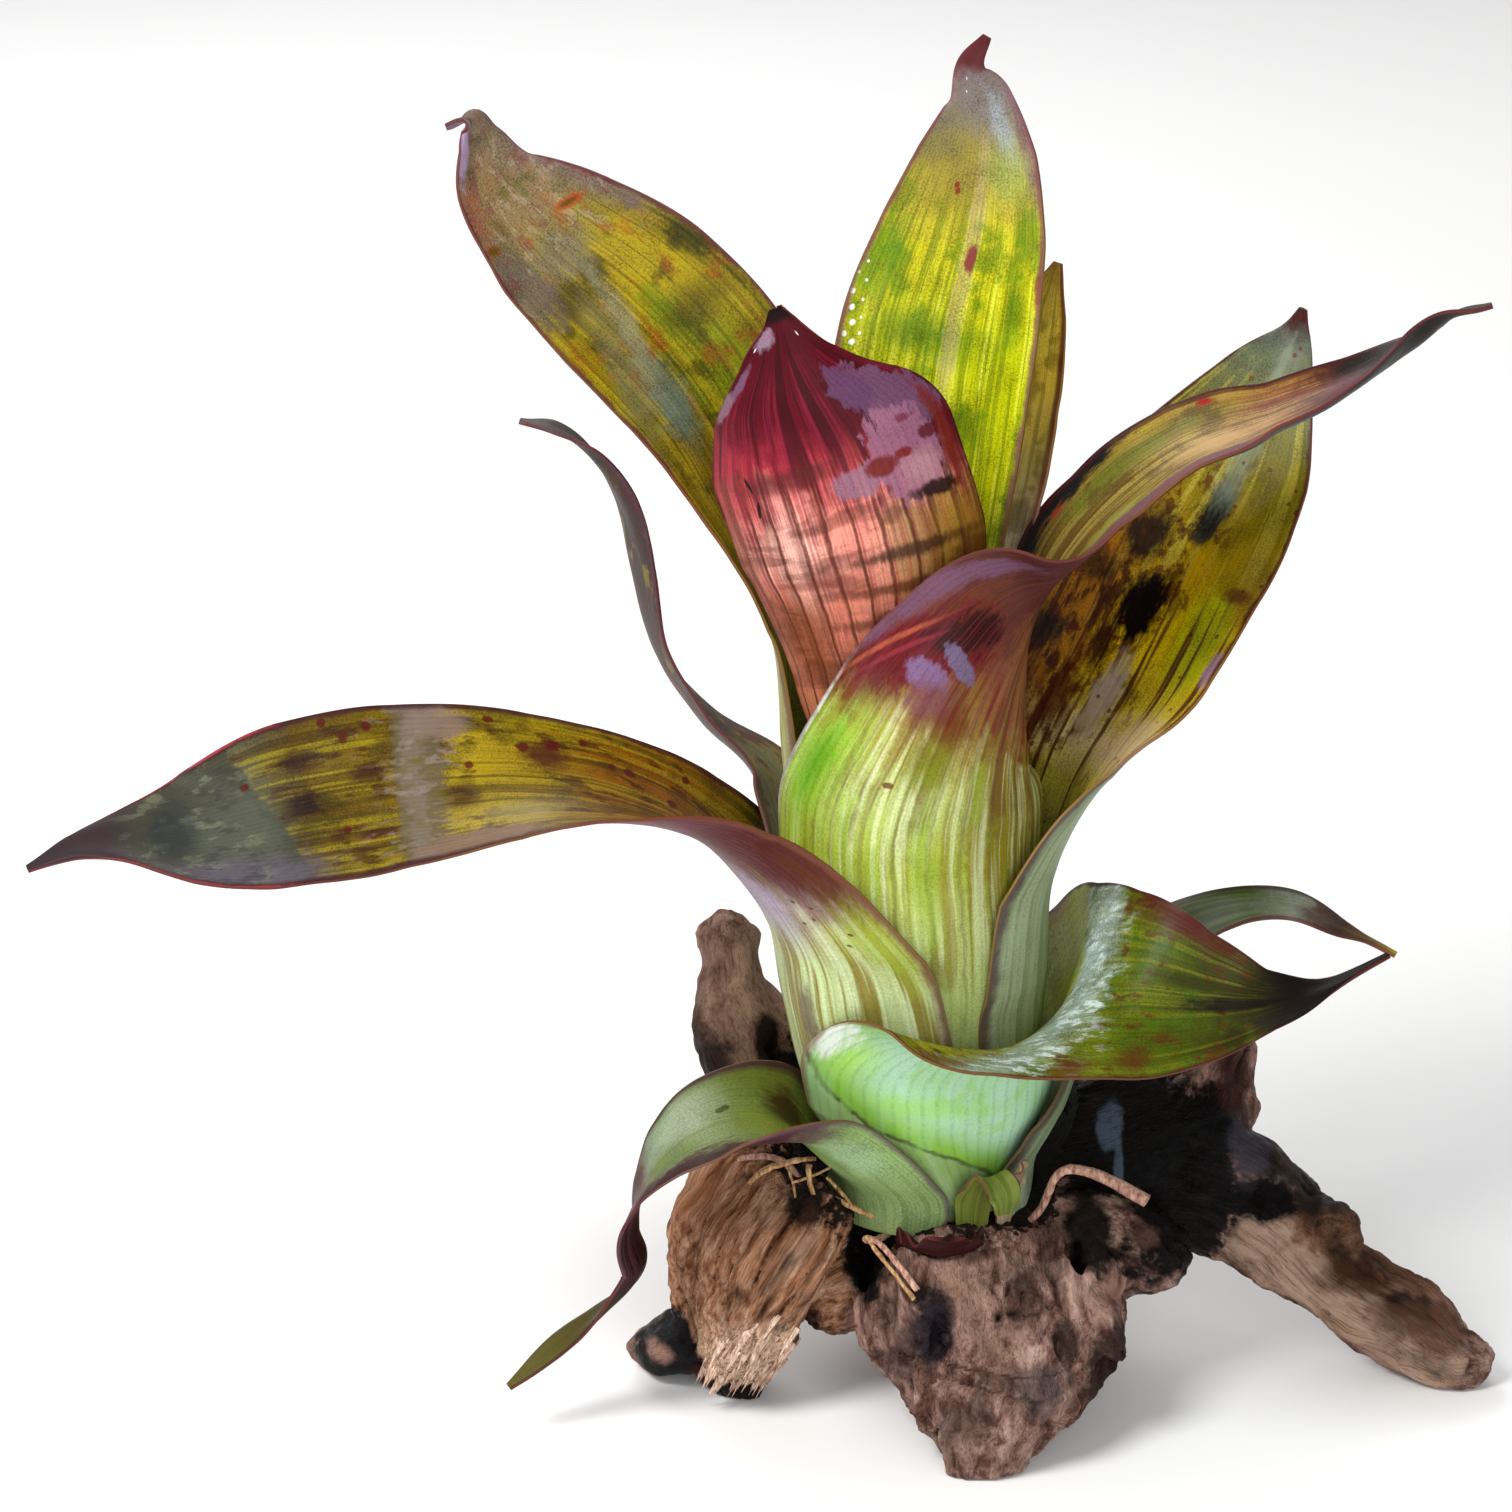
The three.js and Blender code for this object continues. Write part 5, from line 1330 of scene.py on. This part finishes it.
# Zones of colour as x, y, z, three radii, colour, strength, edge and, where it changes, roughness
wood_zones = [
    # The front foot: painted shade in its crevice, dark patches and paler folds
    (34, -27, 27, 5, 5, 9, "a07c69", 0.5, 0.5), (41, -33, 22, 4, 4, 9, "a8836f", 0.5, 0.5),
    (30, -32, 23.5, 3.4, 5, 8, "1c1620", 0.97, 0.3, 0.45), (26, -30, 28, 5, 4, 2.6, "0c0606", 0.97, 0.3, 0.6),
    (24, -32, 19, 3.5, 4, 7, "3c2c2e", 0.7, 0.5), (47, -36, 13, 5, 5, 5, "4a4042", 0.75, 0.4),
    (36, -38, 9, 5, 4, 4, "4c3a34", 0.6, 0.4), (45, -28, 26, 3, 6, 8, "2a1612", 0.75, 0.5),
    (60, -28, 13, 5, 8, 9, "24100a", 0.93, 0.3), (52, -33, 21, 2.4, 5, 3, "1c0e0c", 0.8, 0.4),
    (50, -16, 33, 5, 6, 3, "5a2c1c", 0.5, 0.5), (61, -23, 25, 2.5, 5, 2, "9a7462", 0.8, 0.4),
    # The black and wet side of the trunk, painted shade round the seat, and painted shade in the deep hollows
    # on either side of it
    (62, 4, 40, 21, 12, 15, "020101", 1.0, 0.1, 0.4), (76, 2, 36, 7.5, 9, 18, "030202", 1.0, 0.12, 0.4),
    (69, -6, 27, 14, 10, 10, "030202", 1.0, 0.2, 0.4), (57, -13, 29, 4.5, 8, 11, "040202", 0.97, 0.25, 0.45),
    (30, -1, 52, 29.5, 24, 27.5, "050302", 0.97, 0.05, 0.6),
    (67, -13, 30, 2.5, 3, 1.6, "5a3c34", 0.9, 0.5, 0.5),
    (10, -9, 43.5, 9.5, 6, 4.5, "020101", 1.0, 0.12, 0.6), (17, -8, 38, 7, 7, 6, "020101", 1.0, 0.15, 0.6),
    (19, -13, 29, 4, 10, 12, "020101", 1.0, 0.2, 0.6), (83, 9, 50, 3, 6, 5, "3a1a12", 0.9, 0.4, 0.5),
    # The block: pale and dark streaked, with painted shade on its underside
    (2.5, -14, 37, 2.2, 6, 6, "b08c74", 0.5, 0.5), (-8, -6, 36, 4, 8, 5, "96623e", 0.5, 0.6),
    (8.5, -17, 39, 3.4, 4, 6, "060303", 0.97, 0.3), (9, -17, 33, 1.6, 5, 6, "4c2a18", 0.6, 0.5),
    (12, -9, 13, 9, 7, 6, "2c140c", 0.97, 0.3),
    (8, -15, 14, 4, 7, 6, "3a1e12", 0.9, 0.3), (-3, -13, 2, 7, 8, 2.8, "0a0606", 1.0, 0.3, 0.4),
    # The nub: black and glossy with a tan patch
    (-13, -9, 6, 10, 8, 8, "050306", 1.0, 0.1, 0.22), (-16.5, -9.5, 6.4, 2.2, 4, 1.6, "a88070", 0.95, 0.5),
    (-8, -11, 3.5, 3, 4, 3, "4a140c", 0.9, 0.3, 0.25),
    # The knob: dark below, and painted shade in its cleft
    (-8, 18, 50, 5, 7, 4.5, "1c100c", 0.9, 0.4, 0.4), (2, 15, 53, 2.2, 5, 6, "0c0604", 0.97, 0.3),
    (6, 12, 50, 5, 6, 4, "030202", 1.0, 0.3), (-11, 20, 53, 2, 7, 6, "241612", 0.7, 0.5),
    # The right leg's spots, and its wet black patch
    (88, -1, 31.5, 6, 5, 4.5, "030203", 1.0, 0.25, 0.2), (85, 2, 39, 3.5, 6, 5, "3c3844", 0.85, 0.35, 0.35),
    (95, 2, 31, 2, 5, 3, "140a06", 0.9, 0.4), (106, -5, 20, 2.4, 5, 2.2, "160b06", 0.9, 0.4),
    (111.5, -8.5, 15, 2.6, 3, 2, "100805", 0.95, 0.4), (115, -7.5, 13.5, 2, 3, 1.6, "160c08", 0.9, 0.4),
    (118, -11, 11, 6, 6, 4.6, "5a3826", 0.8, 0.4), (111, -11, 13, 5, 5, 3, "5a3c2a", 0.7, 0.4),
    (103, -6, 19, 6, 5, 3, "4a2a14", 0.7, 0.4), (76, -2, 22, 5, 6, 6, "030202", 1.0, 0.2, 0.4),
    # A painted reflection of light on water that has run down the trunk
    (61, 0, 44, 2.4, 5, 4, "4c5868", 0.8, 0.25, 0.25), (62.5, 0, 37, 0.9, 6, 6, "4c5868", 0.8, 0.3, 0.25),
]


def driftwood_material():
    paint = WoodPaint("wet_driftwood")
    mottled = paint.ramp(paint.mottle, [(0.32, "2c1712"), (0.42, "644439"), (0.53, "98766a"),
                                        (0.68, "c4a294")])
    fibrous = paint.ramp(paint.streak, [(0.3, "3c1c0c"), (0.42, "855438"), (0.55, "b08060"),
                                        (0.7, "cca68c")])
    knob = paint.ramp(paint.mottle, [(0.3, "60463c"), (0.5, "9c7866"), (0.7, "c09c86")])
    pale = paint.ramp(paint.thread, [(0.3, "8c6852"), (0.5, "c8a488"), (0.7, "e0c4a8")])
    tan = paint.ramp(paint.mottle, [(0.3, "8a6653"), (0.5, "b0907c"), (0.7, "bfa08c")])
    orange = paint.ramp(paint.mottle, [(0.36, "2c1810"), (0.5, "684630"), (0.66, "886452")])
    paint.tone = paint.mix(paint.inside(-2, -8, 26, 21, 26, 27, 0.15), mottled, fibrous)
    paint.tone = paint.mix(paint.inside(-3, 22, 56, 13, 16, 18, 0.2), paint.tone, knob)
    paint.tone = paint.mix(paint.inside(1, -20, 10, 10, 12, 9, 0.3), paint.tone, pale)
    paint.tone = paint.mix(paint.inside(106, -2, 20, 26, 10, 14, 0.2), paint.tone, orange)
    paint.strip((82, 4, 44), (100, 3, 31), 5.5, "1a0f0b", 0.9, 0.35, 0.45)
    paint.strip((96, 0, 28), (103, -4, 18), 2.4, "1c0f08", 0.85, 0.4)
    front_face = paint.inside(84, -4, 25, 9, 6, 7.5, 0.2)
    for x, y, z, wide in ((92, -5, 18, 9), (100, -8, 11, 10), (109, -12, 7.5, 9), (116, -14, 5.5, 7)):
        front_face = paint.math("MAXIMUM", front_face, paint.inside(x, y, z, wide, 6, 6.5, 0.2))
    paint.tone = paint.mix(front_face, paint.tone, tan)
    for zone in wood_zones:
        paint.zone(*zone)
    # Painted shade: the wood goes towards near black where its relief sinks into grooves
    groove_shade = paint.step(paint.height, 0.2, -2.2)
    paint.tone = paint.mix(paint.times(groove_shade, 0.85), paint.tone, colour("120805"))
    threads = paint.times(paint.step(paint.thread, 0.5, 0.36), paint.sure)
    paint.tone = paint.mix(paint.times(threads, 0.4), paint.tone, colour("2a160e"))
    relief = paint.moved(paint.times(paint.thread, paint.sure), paint.noise(paint.place, 1.6, 5.0, 0.65), 0.7)
    return paint.surface({
        "Base Color": paint.tone,
        "Roughness": paint.gloss,
        "Normal": paint.bump(relief, 0.0009),
        "Specular IOR Level": 0.14,
    })


driftwood = driftwood_piece()
driftwood.data.materials.clear()
driftwood.data.materials.append(driftwood_material())
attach(driftwood, "root")
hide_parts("driftwood")

# The stem's roots and the dry strands in the wood's hollow, each a round strand along a few points
roots = [
    dict(radii=(0.6, 0.6, 0.65, 0.7, 0.75, 1.0, 1.2),
         points=[(36, -4, 30.5), (43, -9.5, 29.4), (48.5, -12.5, 33), (50, -14, 41), (52, -15, 45),
                 (58, -16, 44), (66, -19, 40)]),
    dict(radii=(0.6, 0.6, 0.55, 0.6, 0.45, 0.6),
         points=[(27, -6, 31), (22.5, -14, 30.5), (18, -21, 33), (18.5, -24, 36.5), (22, -26, 35),
                 (27, -30, 29)]),
    dict(radii=(0.6, 0.6, 0.6, 0.5, 0.6, 0.5),
         points=[(24, -4, 31), (14.5, -8.5, 30.5), (9, -11, 36), (7, -11, 42), (3, -10.5, 45), (-3, -9, 43)]),
]
dry_strands = [
    dict(radii=(0.3, 0.45, 0.35, 0.4),
         points=[(18.5, -24, 36), (20, -25.5, 34), (23.5, -28, 31), (26.5, -30.5, 27.5)]),
    dict(radii=(0.4, 0.6, 0.6, 0.5, 0.3),
         points=[(-1, -14, 41), (0.5, -15, 43.5), (3, -15.5, 45), (7.5, -15, 46), (10, -13, 45)]),
    dict(radii=(0.5, 0.5, 0.3), points=[(9, -15, 45), (8.5, -16, 41.5), (11, -16.5, 37.5)]),
    dict(radii=(0.3, 0.35, 0.25), points=[(12, -14, 42), (14.5, -15.5, 40), (16.5, -16, 37.5)]),
    dict(radii=(0.5, 0.6, 0.4), points=[(13.5, -15, 38.5), (16.5, -16.5, 37.5), (20, -17, 36)]),
    dict(radii=(0.25, 0.3, 0.2), points=[(5, -13, 44), (7, -15.5, 41), (6.5, -17, 38)]),
    dict(radii=(0.2, 0.3, 0.2), points=[(14, -12, 44), (11, -15, 43), (6, -16, 42)]),
]
root_roughness = 0.14
root_roughness_scale = 0.9
stem_clearance = 0.1


def strand_piece(points, radii, name):
    pick()
    bpy.ops.curve.primitive_nurbs_path_add(location=(0, 0, 0))
    strand = bpy.context.object
    curve = strand.data
    curve.splines.remove(curve.splines[0])
    line = curve.splines.new("NURBS")
    line.points.add(len(points) - 1)
    for point, at, radius in zip(line.points, points, radii):
        point.co = (*place(*at), 1.0)
        point.radius = radius
    line.order_u = 4
    line.use_endpoint_u = True
    line.resolution_u = 10
    curve.bevel_depth = mm
    curve.bevel_resolution = 3
    curve.use_fill_caps = True
    bpy.ops.object.convert(target="MESH")
    for vertex in strand.data.vertices:
        at = vertex.co / mm * root_roughness_scale
        vertex.co += Vector((noise.noise(at), noise.noise(at + Vector((9, 0, 0))),
                             noise.noise(at + Vector((0, 9, 0))))) * root_roughness * mm
    strand.name = name
    bpy.ops.object.shade_smooth_by_angle(angle=math.radians(60))
    return strand


def stem_body():
    """The woody stem: a ring drawn up through its levels, leaning with the rosette."""
    levels = [(7.9, 29.5), (12.4, 32), (stem_radius(36) - stem_clearance, 36),
              (stem_radius(46) - stem_clearance, 46), (3.1, 58), (1.2, 59.8)]
    pick()
    bpy.ops.mesh.primitive_circle_add(vertices=32, radius=1.0, fill_type="NGON", location=(0, 0, 0))
    stem = bpy.context.object
    bpy.ops.object.mode_set(mode="EDIT")
    before = None
    for radius, z in levels:
        if before is not None:
            bpy.ops.mesh.extrude_region_move()
        shape = bmesh.from_edit_mesh(stem.data)
        middle = Vector((axis_x(z), 0, z))
        for vertex in (v for v in shape.verts if v.select):
            away = vertex.co.copy() if before is None else vertex.co / mm - shift - before
            away.z = 0
            vertex.co = (middle + away.normalized() * radius + shift) * mm
        bmesh.update_edit_mesh(stem.data)
        before = middle
    bpy.ops.mesh.select_all(action="SELECT")
    bpy.ops.mesh.normals_make_consistent(inside=False)
    bpy.ops.object.mode_set(mode="OBJECT")
    return stem


def fibre_material(name, dark, mid, light):
    paint = Paint(name)
    drawn_out = paint.vector_math("MULTIPLY", paint.object_place(), (1.0, 1.0, 0.25))
    fibres = paint.noise(drawn_out, 1.6, 5.0, 0.65)
    return paint.surface({
        "Base Color": paint.ramp(fibres, [(0.32, dark), (0.5, mid), (0.68, light)]),
        "Roughness": paint.step(fibres, 0.2, 0.8, 0.75, 0.45),
        "Normal": paint.bump(fibres, 0.0004),
    })


strands = [strand_piece(root["points"], root["radii"], "root") for root in roots]
stem = join_all([stem_body()] + strands, "stem_and_roots")
stem.data.materials.append(fibre_material("stem_fibre", "6c4438", "b0806c", "dcb4a0"))
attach(stem, "root")
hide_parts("stem")

dry = join_all([strand_piece(d["points"], d["radii"], "dry") for d in dry_strands], "dry_strands")
dry.data.materials.append(fibre_material("dry_fibre", "6a4424", "a87c4c", "dcb888"))
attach(dry, "root")


# Flakes of split fibre at the block's weathered lower end
flake_count = 44
flake_area = ((-9, 6), (4, 17))
flake_lowest = 1.2
flake_lengths = (4, 9)
flake_widths = (0.7, 1.8)
flake_thicknesses = (0.3, 0.7)
flake_tilt = 0.07
flake_facing = Vector((0, -1, 0.3))
flake_seed = 5


def flake_shape():
    """One flake, 1 mm long: a thin bar with a split and slightly lifted end."""
    pick()
    bpy.ops.mesh.primitive_cube_add(size=1, location=(0, 0, 0))
    flake = bpy.context.object
    bpy.ops.object.mode_set(mode="EDIT")
    bpy.ops.mesh.subdivide(number_cuts=5)
    bpy.ops.object.mode_set(mode="OBJECT")
    for vertex in flake.data.vertices:
        x, along = vertex.co.x, vertex.co.z + 0.5
        end = 0.72 + 0.28 * math.sin(11 * x + 1) * math.cos(5 * x)
        vertex.co.z = -0.5 + along * end
        vertex.co.x = x * (1 - 0.45 * along ** 2)
        vertex.co.y = vertex.co.y * (1 - 0.6 * along) * (1 + 0.5 * math.cos(17 * x)) - 0.5 * along ** 2
    return flake


def flakes_piece(wood):
    draw = random.Random(flake_seed)
    surface = bmesh.new()
    surface.from_mesh(wood.data)
    tree = BVHTree.FromBMesh(surface)
    surface.free()
    model = flake_shape()
    copies = []
    way = fibre_ways["left_block"]
    for _ in range(flake_count):
        x, z = draw.uniform(*flake_area[0]), draw.uniform(*flake_area[1])
        hit, normal, _, _ = tree.ray_cast(place(x, -80, z), Vector((0, 1, 0)))
        length, wide = draw.uniform(*flake_lengths), draw.uniform(*flake_widths)
        thick = draw.uniform(*flake_thicknesses)
        tilt = Vector((draw.uniform(-flake_tilt, flake_tilt), 0.0, draw.uniform(-flake_tilt, flake_tilt)))
        if hit is None:
            continue
        normal = (normal * 0.35 + flake_facing).normalized()
        along = (way + tilt - normal * normal.dot(way)).normalized()
        side = along.cross(normal).normalized()
        turn = Matrix((side, along.cross(side), along)).transposed()
        flake = bpy.data.objects.new("flake", model.data.copy())
        bpy.context.collection.objects.link(flake)
        size = Vector((wide, thick, length)) * mm
        flake.matrix_world = Matrix.LocRotScale(hit, turn.to_quaternion(), size)
        copies.append(flake)
    bpy.data.objects.remove(model)
    settle(*copies)
    flakes = join_all(copies, "block_flakes")
    for vertex in flakes.data.vertices:
        vertex.co.z = max(vertex.co.z, flake_lowest * mm)
    bpy.ops.object.shade_smooth_by_angle(angle=math.radians(40))
    return flakes


flakes = flakes_piece(driftwood)
flakes.data.materials.append(fibre_material("pale_flake", "7c5a4a", "c8a690", "f0d8c8"))
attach(flakes, "root")
